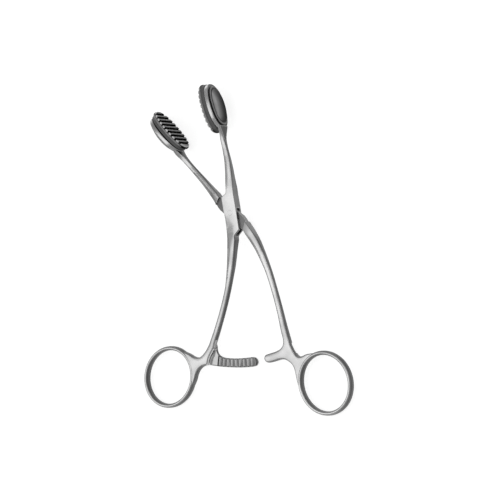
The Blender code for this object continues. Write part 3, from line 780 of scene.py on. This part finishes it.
def box_half():
    place = jaw_place(-1, BOX_FRAME_SHIFT)
    upper = [(1.65, 11.8, 4.25), (1.8, 16.7, 4.1), (2.1, 21.8, 3.7), (2.15, 27.0, 3.3), (1.85, 32.2, 2.9),
             (1.6, 37.5, 2.5), shank_end(place, -2.3, -0.3, 2.1), shank_end(place, 1.2, 0.35, 2.0)]
    lower = [(-2.05, -13.2, 4.45), (-3.45, -18.4, 4.3), (-4.65, -23.3, 4.05), (-6.15, -28.2, 3.7),
             (-9.73, -37.8, 3.15), (-14.3, -47.3, 3.2), (-19.5, -56.8, 3.3), (-21.95, -60.9, 3.35)]
    upper_left, upper_right = rails(upper, SHANK_SPACING)
    lower_right, lower_left = rails(lower, SHANK_SPACING)

    ring, hole = web(BOX_RING_CENTRE, BOX_RING_LEAN, BOX_RING_ARC, BOX_LEAN)
    step_line = [(-9.6, -66.2), (-10.3, -69.0), (-11.9, -71.6), (-13.2, -74.2), (-13.9, -77.1)]
    under = [(-13.9, -77.3), (-16.8, -78.0), (-19.1, -79.7), (-20.7, -82.4), (-21.9, -85.7), ring[0]]
    crotch = [ring[-1], (-25.3, -71.9), (-22.4, -73.2), (-19.8, -73.6), (-17.6, -72.7), (-15.1, -69.9),
              (-13.2, -66.5)]

    outline = upper_right[::-1]
    outline += [(3.62, 9.4), (LOCK_HALF_WIDTH, 4.0), (LOCK_HALF_WIDTH, -4.0), *LOWER_CHAMFER, (0.15, -12.2)]
    outline += lower_right
    outline += own(curve(step_line, FILLET_SPACING), BOX_LEAN)
    outline += own(curve(under, FILLET_SPACING), BOX_LEAN)[1:]
    outline += own(ring, BOX_LEAN)[1:-1]
    outline += own(curve(crotch, FILLET_SPACING), BOX_LEAN)
    swell = table(*BOX_SWELL)
    outline += [(x - swell(y), y) for x, y in lower_left[::-1] + [(-3.85, -9.6), (-LOCK_HALF_WIDTH, -5.0)]]
    outline += [(-LOCK_HALF_WIDTH, -2.6), (-LOCK_HALF_WIDTH, 2.0), UPPER_CHAMFER[0]]
    outline += curve([UPPER_CHAMFER[1], (-0.85, 10.35), (-0.55, 11.2), upper_left[0]], CHAMFER_SPACING)[:-1]
    outline += upper_left
    body = plate("box_half_forging", outline, box_face, lambda x, y: -box_face(x, y),
                 edges(BOX_RING_CENTRE, BOX_RING_LEAN, BOX_LEAN), hole=hole, crown=crown)

    bar = [(-13.6, -69.2), (-11.3, -65.6), (-10.2, -67.6), (-9.9, -69.9), (-8.9, -71.8), (-6.6, -73.1),
           (-3.1, -73.6), (2.1, -73.6), (7.2, -73.15), (11.5, -72.65), (13.2, -73.3), (14.1, -74.8),
           (13.7, -76.4), (12.2, -77.3), (7.0, -77.95), (0.0, -78.2), (-7.8, -78.0), (-13.0, -77.5),
           (-17.2, -76.9), (-18.4, -75.6)]
    ratchet = plate("ratchet_bar", own(curve(bar, FILLET_SPACING), BOX_LEAN), lambda x, y: BAR_FRONT,
                    lambda x, y: BAR_REAR, lambda x, y: bar_edge_radius(y), steps=BAR_EDGE_STEPS)
    line = saw(TEETH_START, BAR_TEETH, BAR_FRONT - TOOTH_DEPTH)
    line = [(line[0][0] - TOOTH_STEP, BAR_FRONT)] + line + [(line[-1][0] + TOOTH_STEP, BAR_FRONT)]
    teeth = saw_cutter("ratchet_bar_teeth", line, CUTTER_REACH, BOX_LEAN)
    combine(ratchet, teeth, "DIFFERENCE")
    combine(body, ratchet, "UNION")

    combine(body, ring_band("box_finger_ring", BOX_RING_CENTRE, BOX_RING_LEAN, BOX_LEAN), "UNION")
    combine(body, step_ramp(curve(step_line[1:], FILLET_SPACING)), "UNION")
    frame = jaw_frame("box_jaw_frame", place)
    combine(body, frame, "UNION")

    walls = [(CUTTER_REACH, WALL_FOOT[1] - 0.25), WALL_FOOT, WALL_KNEE, WALL_TOP, (-0.8, SLOT_END),
             (-CUTTER_REACH, SLOT_END)]
    walls += [(-x, -y) for x, y in walls]
    slot = prism("box_slot", walls, -TONGUE_HALF - SIDE_CLEARANCE, TONGUE_HALF + SIDE_CLEARANCE)
    combine(body, slot, "DIFFERENCE")
    bore = round_bar("box_bore", PIN_RADIUS + PIN_SEAT_CLEARANCE, -CUTTER_REACH, CUTTER_REACH)
    combine(body, bore, "DIFFERENCE")
    return finished(body, "box_half_forged", BOX_LEAN)


# Tongue half

def beyond(chamfer, away):
    """The chamfer's line moved out from the pivot by the step clearance, and made longer at both ends."""
    a, b = (np.array(p, float) for p in chamfer)
    along = (b - a) / np.linalg.norm(b - a)
    out = np.array([-along[1], along[0]])
    if out @ a < 0:
        out = -out
    return a + out * away - along * 4, b + out * away + along * 4, out


def tongue_half():
    place = jaw_place(1, TONGUE_FRAME_SHIFT)
    upper = [(-2.75, 12.6, 3.95), (-3.44, 17.0, 3.75), (-4.42, 24.0, 3.3), (-5.65, 31.3, 2.95),
             (-6.84, 38.6, 2.6), shank_end(place, -1.7, 0.85, 2.45), shank_end(place, 1.2, 0.6, 2.1)]
    lower = [(2.7, -13.2, 4.15), (2.72, -18.7, 4.25), (2.22, -24.5, 3.9), (0.3, -35.4, 3.35),
             (-2.6, -45.6, 3.15), (-5.87, -55.5, 3.2), (-9.15, -64.2, 3.35)]
    upper_left, upper_right = rails(upper, SHANK_SPACING)
    lower_right, lower_left = rails(lower, SHANK_SPACING)

    ring, hole = web(TONGUE_RING_CENTRE, TONGUE_RING_LEAN, TONGUE_RING_ARC, TONGUE_LEAN)
    crotch = [(34.2, -66.0), (35.7, -68.7), (37.3, -70.7), (38.8, -71.6), (40.8, -71.3), (43.5, -70.2),
              ring[0]]
    under = [ring[-1], (38.1, -84.0), (37.2, -80.7), (36.2, -77.5), (34.9, -75.5), (33.0, -74.1),
             (31.1, -73.3), (28.4, -73.4), (25.8, -74.2), (22.2, -75.1), (20.1, -74.6), (19.2, -72.9),
             (19.9, -71.3), (22.2, -70.5), (25.7, -69.4), (28.0, -68.3), (29.4, -66.9), (30.0, -65.1),
             (29.8, -63.0)]

    outline = upper_right[::-1]
    outline += [(-0.75, 10.45), (-0.35, 10.1), (WALL_KNEE[0] - 0.2, WALL_KNEE[1] - 0.05), (3.05, 0.0),
                (3.85, -3.2)]
    outline += [(TONGUE_SHOULDER - 0.2, -4.7), (TONGUE_SHOULDER, -6.6), (TONGUE_SHOULDER, -10.2)]
    outline += lower_right
    outline += own(curve(crotch, FILLET_SPACING), TONGUE_LEAN)
    outline += own(ring, TONGUE_LEAN)[1:-1]
    outline += own(curve(under, FILLET_SPACING), TONGUE_LEAN)
    outline += lower_left[::-1]
    outline += [(0.85, -11.6), (0.4, -10.9), (-WALL_KNEE[0] + 0.2, -WALL_KNEE[1] + 0.05), (-3.05, 0.0),
                (-3.85, 3.2)]
    outline += [(0.2 - TONGUE_SHOULDER, 4.7), (-TONGUE_SHOULDER, 6.6), (-TONGUE_SHOULDER, 10.2)]
    outline += upper_left
    body = plate("tongue_half_forging", outline, tongue_face, lambda x, y: -tongue_face(x, y),
                 edges(TONGUE_RING_CENTRE, TONGUE_RING_LEAN, TONGUE_LEAN), hole=hole, crown=crown)

    band = ring_band("tongue_finger_ring", TONGUE_RING_CENTRE, TONGUE_RING_LEAN, TONGUE_LEAN)
    combine(body, band, "UNION")
    frame = jaw_frame("tongue_jaw_frame", place)
    combine(body, frame, "UNION")

    first = beyond(UPPER_CHAMFER, STEP_CLEARANCE)
    second = beyond(LOWER_CHAMFER, STEP_CLEARANCE)
    flank = [first[0], first[1], second[0], second[1]]
    for name, low, high in (("front_of_tongue", TONGUE_HALF, CUTTER_REACH),
                            ("rear_of_tongue", -CUTTER_REACH, -TONGUE_HALF)):
        combine(body, prism(name, [tuple(map(float, p)) for p in flank], low, high), "DIFFERENCE")

    behind = BAR_FRONT + RATCHET_CLEARANCE
    inner = ellipse((0, 0), (RATCHET_INNER, RATCHET_INNER), -90, *RELIEF_ANGLES, RELIEF_POINTS)
    outer = ellipse((0, 0), (RATCHET_OUTER, RATCHET_OUTER), -90, *RELIEF_ANGLES, RELIEF_POINTS)
    relief = prism("bar_relief", own(inner + outer[::-1], TONGUE_LEAN), -CUTTER_REACH, behind)
    combine(body, relief, "DIFFERENCE")
    line = saw(STUB_TEETH_START, STUB_TEETH, behind)
    teeth = saw_cutter("ratchet_stub_teeth", line, -CUTTER_REACH, TONGUE_LEAN)
    combine(body, teeth, "DIFFERENCE")
    bore = round_bar("tongue_bore", PIN_RADIUS + PIN_RUNNING_CLEARANCE, -CUTTER_REACH, CUTTER_REACH)
    combine(body, bore, "DIFFERENCE")
    return finished(body, "tongue_half_forged", TONGUE_LEAN)


# Materials

def node(tree, kind, place, **values):
    made = tree.nodes.new(kind)
    made.location = place
    for name, value in values.items():
        if name.startswith("set_"):
            setattr(made, name[4:], value)
        else:
            made.inputs[name.replace("_", " ")].default_value = value
    return made


def principled(name):
    made = bpy.data.materials.new(name)
    made.use_nodes = True
    return made, made.node_tree, made.node_tree.nodes["Principled BSDF"]


def ramp(tree, source, stops, place):
    """A colour ramp fed by a socket, its stops given as position and grey or colour."""
    made = node(tree, "ShaderNodeValToRGB", place)
    elements = made.color_ramp.elements
    while len(elements) < len(stops):
        elements.new(0.5)
    for element, (position, colour) in zip(elements, stops):
        element.position = position
        element.color = (*colour, 1.0) if isinstance(colour, tuple) else (colour, colour, colour, 1.0)
    tree.links.new(source, made.inputs["Fac"])
    return made.outputs["Color"]


def noise(tree, source, place, scale, detail, roughness):
    made = node(tree, "ShaderNodeTexNoise", place, Scale=scale, Detail=detail, Roughness=roughness)
    tree.links.new(source, made.inputs["Vector"])
    return made.outputs["Fac"]


def bump(tree, height, place, strength, distance, normal=None):
    made = node(tree, "ShaderNodeBump", place, Strength=strength, Distance=distance)
    tree.links.new(height, made.inputs["Height"])
    if normal:
        tree.links.new(normal, made.inputs["Normal"])
    return made.outputs["Normal"]


def blended(tree, kind, share, first, second, place):
    made = node(tree, "ShaderNodeMix", place, set_data_type="RGBA", set_blend_type=kind)
    for socket, value in ((0, share), (6, first), (7, second)):
        if isinstance(value, bpy.types.NodeSocket):
            tree.links.new(value, made.inputs[socket])
        else:
            made.inputs[socket].default_value = value
    return made.outputs[2]


def satin_steel(name, lean):
    """Stainless steel whose grey is painted by facing: painted light on its broad faces and painted shade on
    its sides, with more painted shade or painted light stored for some areas. It is duller on its sides and
    where painted shade is stored, with fine grinding lines along the shank, a cloudy polish and brighter worn
    edges."""
    made, tree, shader = principled(name)
    link = tree.links.new
    place = node(tree, "ShaderNodeTexCoord", (-1800, 0)).outputs["Object"]
    along = node(tree, "ShaderNodeMapping", (-1600, 200))
    along.inputs["Rotation"].default_value = (0, 0, math.radians(-lean))
    along.inputs["Scale"].default_value = GRINDING_SCALE
    link(place, along.inputs["Vector"])
    lines = noise(tree, along.outputs["Vector"], (-1400, 200), scale=1.0, detail=3.0, roughness=0.6)
    clouds = noise(tree, place, (-1400, -100), scale=75.0, detail=2.0, roughness=0.45)
    pits = noise(tree, place, (-1400, -400), scale=2600.0, detail=2.0, roughness=0.5)

    # Painted shade and light: how squarely a face meets the half's axis, less the painted shade stored per
    # face, picks the steel's grey below
    geometry = node(tree, "ShaderNodeNewGeometry", (-1800, 600))
    broad = node(tree, "ShaderNodeVectorMath", (-1600, 600), set_operation="DOT_PRODUCT")
    broad.inputs[1].default_value = axis
    link(geometry.outputs["Normal"], broad.inputs[0])
    size = node(tree, "ShaderNodeMath", (-1400, 600), set_operation="ABSOLUTE")
    link(broad.outputs["Value"], size.inputs[0])
    painted_shade = node(tree, "ShaderNodeAttribute", (-1400, 800), set_attribute_name="painted_shade")
    kept = node(tree, "ShaderNodeMath", (-1200, 700), set_operation="SUBTRACT")
    kept.use_clamp = True
    link(size.outputs[0], kept.inputs[0])
    link(painted_shade.outputs["Fac"], kept.inputs[1])
    facing_less_painted_shade = kept.outputs[0]

    rounded = node(tree, "ShaderNodeBevel", (-1400, -700), set_samples=6, Radius=0.00045)
    facing = node(tree, "ShaderNodeVectorMath", (-1200, -700), set_operation="DOT_PRODUCT")
    link(rounded.outputs["Normal"], facing.inputs[0])
    link(geometry.outputs["Normal"], facing.inputs[1])
    worn = node(tree, "ShaderNodeMapRange", (-1000, -700))
    worn.inputs["From Min"].default_value = WORN_SPREAD[0]
    worn.inputs["From Max"].default_value = WORN_SPREAD[1]
    link(facing.outputs["Value"], worn.inputs["Value"])

    # The painted facing greys: painted shade on the sides, painted light on the broad faces
    painted_facing_grey = ramp(tree, facing_less_painted_shade, STEEL_PAINTED_FACING_TONES, (-1000, 600))
    cloud = ramp(tree, clouds, ((0.34, 0.72), (0.62, 1.0)), (-1100, -100))
    grain = ramp(tree, lines, ((0.30, 0.94), (0.70, 1.0)), (-1100, 200))
    colour = blended(tree, "MULTIPLY", 1.0, painted_facing_grey, cloud, (-800, 300))
    colour = blended(tree, "MULTIPLY", 0.7, colour, grain, (-600, 200))
    share = node(tree, "ShaderNodeMath", (-800, -500), set_operation="MULTIPLY")
    share.inputs[1].default_value = WORN_SHARE
    link(worn.outputs["Result"], share.inputs[0])
    colour = blended(tree, "MIX", share.outputs[0], colour, (WORN_GREY, WORN_GREY, WORN_GREY, 1), (-400, 100))
    link(colour, shader.inputs["Base Color"])
    dull = ramp(tree, facing_less_painted_shade, ((0.55, 0.46), (0.92, 0.30)), (-1000, -300))
    gloss = ramp(tree, clouds, ((0.30, 1.0), (0.70, 0.8)), (-1100, -450))
    gloss = blended(tree, "MULTIPLY", 1.0, dull, gloss, (-700, -200))
    link(gloss, shader.inputs["Roughness"])
    shader.inputs["Metallic"].default_value = 1.0

    soft = node(tree, "ShaderNodeBevel", (-900, -900), set_samples=6, Radius=0.0001)
    lined = bump(tree, lines, (-600, -600), strength=0.03, distance=0.00001, normal=soft.outputs["Normal"])
    pitted = bump(tree, pits, (-400, -600), strength=0.02, distance=0.00001, normal=lined)
    link(pitted, shader.inputs["Normal"])
    return made


def grey_rubber(name):
    """Moulded rubber, slightly mottled, its grey from the stored tone with its painted shade and highlights;
    its specular follows that tone, so the black painted shade in the grooves is matt.
    """
    made, tree, shader = principled(name)
    link = tree.links.new
    place = node(tree, "ShaderNodeTexCoord", (-1800, 0)).outputs["Object"]
    clouds = noise(tree, place, (-1400, 0), scale=320.0, detail=4.0, roughness=0.6)
    skin = noise(tree, place, (-1400, -300), scale=3500.0, detail=3.0, roughness=0.6)
    tone = node(tree, "ShaderNodeAttribute", (-1400, 300), set_attribute_name="tone")
    mottle = ramp(tree, clouds, ((0.30, 0.75), (0.75, 1.0)), (-1000, 0))
    colour = blended(tree, "MULTIPLY", 1.0, tone.outputs["Color"], mottle, (-700, 100))
    link(colour, shader.inputs["Base Color"])
    # Specular follows the stored tone, so the grooves' black painted shade shows no reflection either
    sheen = ramp(tree, tone.outputs["Fac"], ((0.01, 0.0), (0.2, 0.15)), (-1000, 500))
    link(sheen, shader.inputs["Specular IOR Level"])
    gloss = ramp(tree, skin, ((0.3, 0.34), (0.7, 0.46)), (-1000, -300))
    link(gloss, shader.inputs["Roughness"])
    grained = bump(tree, skin, (-600, -500), strength=0.30, distance=0.00004)
    mottled = bump(tree, clouds, (-400, -500), strength=0.25, distance=0.0002, normal=grained)
    link(mottled, shader.inputs["Normal"])
    return made


def tone_rubber(made, lean, side, shift):
    """Stores the rubber's grey with painted shade and highlights: by face on the pad, with the rubber's own
    grey on the ribs and the lip's side, a painted highlight on the rim, painted shade in the waist and black
    painted shade in the grooves, and by corner on the button, whose dome has a painted highlight crescent
    towards the front and painted shade behind it, ringed by a painted-shade groove and a painted-highlight
    lip."""
    laid = ROOT @ Matrix.Rotation(math.radians(lean), 4, "Z") @ Matrix.Scale(MM, 4)
    back = (laid @ jaw_place(side, shift)).inverted()
    top = FRAME_HALF_THICKNESS + PAD_RISE
    rim = top - RIM_DROP
    ribs = (PAD_HALF_LENGTH - RIM_WIDTH, PAD_HALF_WIDTH - RIM_WIDTH)
    button = (FRAME_HALF_LENGTH - FRAME_BAND + BUTTON_OVERLAP, FRAME_HALF_WIDTH - FRAME_BAND + BUTTON_OVERLAP)

    def within(spot, half):
        return (abs(spot.x / half[0]) ** OVAL_POWER + abs(spot.y / half[1]) ** OVAL_POWER) ** (1 / OVAL_POWER)

    # The pad's grey: the rubber's own grey on the ribs and the lip's side, a painted highlight on the rim,
    # painted shade in the grooves and the waist
    def pad_grey(spot):
        share = within(spot, ribs)
        if spot.z > top - RIB_FRONT_DEPTH and share < RIB_SHARE:
            return RIB_TONE
        walled = share < GROOVE_SHARE or (share < RIM_SHARE and spot.z < rim - SURFACE_MARGIN)
        if walled and spot.z > top - GROOVE_DEPTH - GROOVE_MARGIN:
            return GROOVE_PAINTED_SHADE
        if spot.z > rim - RIM_MARGIN:
            return RIM_PAINTED_HIGHLIGHT
        return SIDE_TONE if spot.z > rim - LIP_HEIGHT else WAIST_PAINTED_SHADE

    # The button's grey: a painted highlight crescent and painted shade across the dome, a painted-shade
    # groove and a painted-highlight lip round it
    def button_grey(spot):
        out = within(spot, button)
        if out < DOME_SHARE:
            return table(*DOME_PAINTED_LIGHT_TONES)(side * spot.y / button[1])
        return table(*LEDGE_PAINTED_LIGHT_TONES)(out)

    values = []
    for polygon in made.data.polygons:
        middle = back @ polygon.center
        for corner in polygon.loop_indices:
            if middle.z < 0:
                grey = button_grey(back @ made.data.vertices[made.data.loops[corner].vertex_index].co)
            else:
                grey = pad_grey(middle)
            values += [grey, grey, grey]
    made.data.attributes.new("tone", "FLOAT_VECTOR", "CORNER").data.foreach_set("vector", values)


def mark_painted_shade(made, lean):
    """Stores painted shade and painted light for each face, taken off its facing before the steel's grey is
    painted by
    facing: a positive value moves a face towards the sides' greys, a negative one towards the broad faces'
    light grey.
    Painted shade falls on the flats recessed beside the lock, the tongue half's shoulder and facet, and the
    ratchet bar, most of all at its tip; painted light on the slot's walls, the step above the bar and the
    jaws. On the lower shanks a small negative value darkens the flat sides and lightens the other faces."""
    back = (ROOT @ Matrix.Scale(MM, 4)).inverted()
    box = lean == BOX_LEAN
    values = []
    for polygon in made.data.polygons:
        x, y, z = back @ polygon.center
        across, along = turned((x, y), -lean)
        from_below = math.degrees(math.atan2(x, -y))
        beside = abs(abs(across) - LOCK_HALF_WIDTH) < SURFACE_MARGIN and abs(along) < WALL_LENGTH
        stepped = y < STEP_TOP and STEP_ACROSS[0] < x < STEP_ACROSS[1] and polygon.normal.x > STEP_FACING
        # Each branch below picks the painted shade or painted light of one area
        value = 0.0
        if abs(z) < TONGUE_HALF + SURFACE_MARGIN and abs(along) < SLOT_END:
            value = UPPER_RECESS_PAINTED_SHADE if along > 0 else LOWER_RECESS_PAINTED_SHADE
        elif box and beside and abs(z) < LOCK_HALF - WALL_MARGIN:
            value = WALL_PAINTED_LIGHT
        elif box and stepped and z > BAR_FRONT - STEP_MARGIN:
            value = STEP_PAINTED_LIGHT
        elif box and y < BAR_TOP and from_below > TIP_ANGLE:
            value = TIP_PAINTED_SHADE
        elif box and y < BAR_TOP and from_below > TEETH_START:
            share = (from_below - TEETH_START) / (TIP_ANGLE - TEETH_START)
            lower = min(max((math.hypot(x, y) - RATCHET_INNER) / (RATCHET_OUTER - RATCHET_INNER), 0.0), 1.0)
            value = BAR_PAINTED_SHADES[0] + (BAR_PAINTED_SHADES[1] - BAR_PAINTED_SHADES[0]) * (share + lower) / 2
        elif not box and SHOULDER_START < along < 0:
            value = table(*SHOULDER_PAINTED_SHADE)(along)
        elif (not box and FACET_REACH[0] < along < FACET_REACH[1]
              and across < table(*UPPER_RIDGE)(along) - FACET_MARGIN):
            value = FACET_PAINTED_SHADE
        elif along > FRAME_FOOT - JAW_REACH:
            value = JAW_PAINTED_LIGHT
        elif along < LOWER_SIDE_START:
            value = LOWER_SIDE_PAINTED_SHADE
        values.append(value)
    made.data.attributes.new("painted_shade", "FLOAT", "FACE").data.foreach_set("value", values)


# Studio

def floor(low):
    made, tree, shader = principled("pale_floor")
    link = tree.links.new
    shader.inputs["Base Color"].default_value = (FLOOR_GREY, FLOOR_GREY, FLOOR_GREY, 1)
    shader.inputs["Roughness"].default_value = 0.9
    shader.inputs["Specular IOR Level"].default_value = 0.1
    path = node(tree, "ShaderNodeLightPath", (-800, -200))
    seen = node(tree, "ShaderNodeMath", (-600, -200), set_operation="MAXIMUM")
    link(path.outputs["Is Camera Ray"], seen.inputs[0])
    link(path.outputs["Is Glossy Ray"], seen.inputs[1])
    clear = node(tree, "ShaderNodeMath", (-400, -200), set_operation="MAXIMUM")
    link(seen.outputs[0], clear.inputs[0])
    link(path.outputs["Is Transmission Ray"], clear.inputs[1])
    glow = node(tree, "ShaderNodeMath", (-200, -200), set_operation="MULTIPLY")
    glow.inputs[1].default_value = FLOOR_GLOW
    link(clear.outputs[0], glow.inputs[0])
    link(glow.outputs[0], shader.inputs["Emission Strength"])
    shader.inputs["Emission Color"].default_value = (1, 1, 1, 1)
    mesh = bpy.data.meshes.new("floor")
    work = bmesh.new()
    bmesh.ops.create_circle(work, cap_ends=True, segments=FLOOR_SIDES, radius=FLOOR_RADIUS)
    work.to_mesh(mesh)
    work.free()
    mesh.materials.append(made)
    result = linked("floor", mesh)
    result.location.z = low - FLOOR_DROP


def sky():
    """A soft studio surround: a little brighter high on the left, and plain white to the camera."""
    world = bpy.data.worlds.new("studio")
    bpy.context.scene.world = world
    world.use_nodes = True
    tree = world.node_tree
    link = tree.links.new
    shader = tree.nodes["Background"]
    place = node(tree, "ShaderNodeTexCoord", (-1000, 0))
    bright = node(tree, "ShaderNodeVectorMath", (-800, 0), set_operation="DOT_PRODUCT")
    bright.inputs[1].default_value = Vector(SKY_BRIGHT_SIDE).normalized()
    link(place.outputs["Generated"], bright.inputs[0])
    level = node(tree, "ShaderNodeMapRange", (-600, 0))
    level.interpolation_type = "SMOOTHSTEP"
    for name, value in (("From Min", SKY_SPREAD[0]), ("From Max", SKY_SPREAD[1]), ("To Min", SKY_DIM),
                        ("To Max", SKY_BRIGHT)):
        level.inputs[name].default_value = value
    link(bright.outputs["Value"], level.inputs["Value"])
    path = node(tree, "ShaderNodeLightPath", (-600, 300))
    strength = node(tree, "ShaderNodeMix", (-300, 100), set_data_type="FLOAT")
    link(path.outputs["Is Camera Ray"], strength.inputs[0])
    link(level.outputs["Result"], strength.inputs[2])
    strength.inputs[3].default_value = 1.0
    link(strength.outputs[0], shader.inputs["Strength"])
    shader.inputs["Color"].default_value = (1, 1, 1, 1)


def softbox(name, target, direction, distance, size, radiance):
    """An area lamp of this radiance, looking at the target from this direction, its length along y."""
    width, length = size
    lamp = bpy.data.lights.new(name, "AREA")
    lamp.shape = "RECTANGLE"
    lamp.size = width
    lamp.size_y = length
    lamp.energy = radiance * math.pi * width * length
    made = linked(name, lamp)
    way = Vector(direction).normalized()
    made.location = target + way * distance
    made.rotation_euler = way.to_track_quat("Z", "Y").to_euler()


def camera(pivot):
    yaw = math.radians(CAMERA_AZIMUTH)
    turn = ROOT.to_3x3()
    right = turn @ Vector((math.cos(yaw), 0, -math.sin(yaw)))
    up = turn @ Vector((0, 1, 0))
    back = turn @ Vector((math.sin(yaw), 0, math.cos(yaw)))
    lens = bpy.data.cameras.new("camera")
    lens.sensor_width = SENSOR
    lens.lens = SENSOR * CAMERA_DISTANCE / FRAME_WIDTH
    lens.clip_end = CAMERA_REACH
    made = linked("camera", lens)
    spot = pivot + (right * CAMERA_RIGHT + up * CAMERA_UP + back * CAMERA_DISTANCE) * MM
    made.matrix_world = Matrix.Translation(spot) @ Matrix((right, up, back)).transposed().to_4x4()
    bpy.context.scene.camera = made


# Assembly

pivot = Vector(frame["joints"][0]["pos_m"])
axis = Vector(frame["joints"][0]["axis"])
ROOT = Matrix.Translation(pivot) @ Vector((0, 0, 1)).rotation_difference(axis).to_matrix().to_4x4()
helpers = []

camera(pivot)
floor(solid_low.z)
sky()
softbox("key_light", pivot, KEY_SIDE, KEY_DISTANCE, KEY_SIZE, KEY_RADIANCE)
softbox("fill_light", pivot, FILL_SIDE, FILL_DISTANCE, FILL_SIZE, FILL_RADIANCE)

pieces = (
    ("box_half", box_half(), "box_side", BOX_LEAN),
    ("tongue_half", tongue_half(), "tongue_side", TONGUE_LEAN),
)
for name, piece, body, lean in pieces:
    mark_painted_shade(piece, lean)
    piece.data.materials.append(satin_steel(f"{name}_steel", lean))
    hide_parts(name)
    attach(piece, body)

pin = frame["nodes"]["pivot_pin"]
pin.data.materials.clear()
pin.data.materials.append(satin_steel("pivot_pin_steel", BOX_LEAN))

rubber = grey_rubber("moulded_rubber")
inserts = (
    ("box_half_pad", "box_side", BOX_LEAN, -1, BOX_FRAME_SHIFT),
    ("tongue_half_pad", "tongue_side", TONGUE_LEAN, 1, TONGUE_FRAME_SHIFT),
)
for node_name, body, lean, side, shift in inserts:
    pad = finished(insert(f"{node_name}_blank", jaw_place(side, shift)), f"{node_name}_moulded", lean)
    tone_rubber(pad, lean, side, shift)
    pad.data.materials.append(rubber)
    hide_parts(node_name)
    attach(pad, body)

scene = bpy.context.scene
scene.view_settings.view_transform = "Standard"
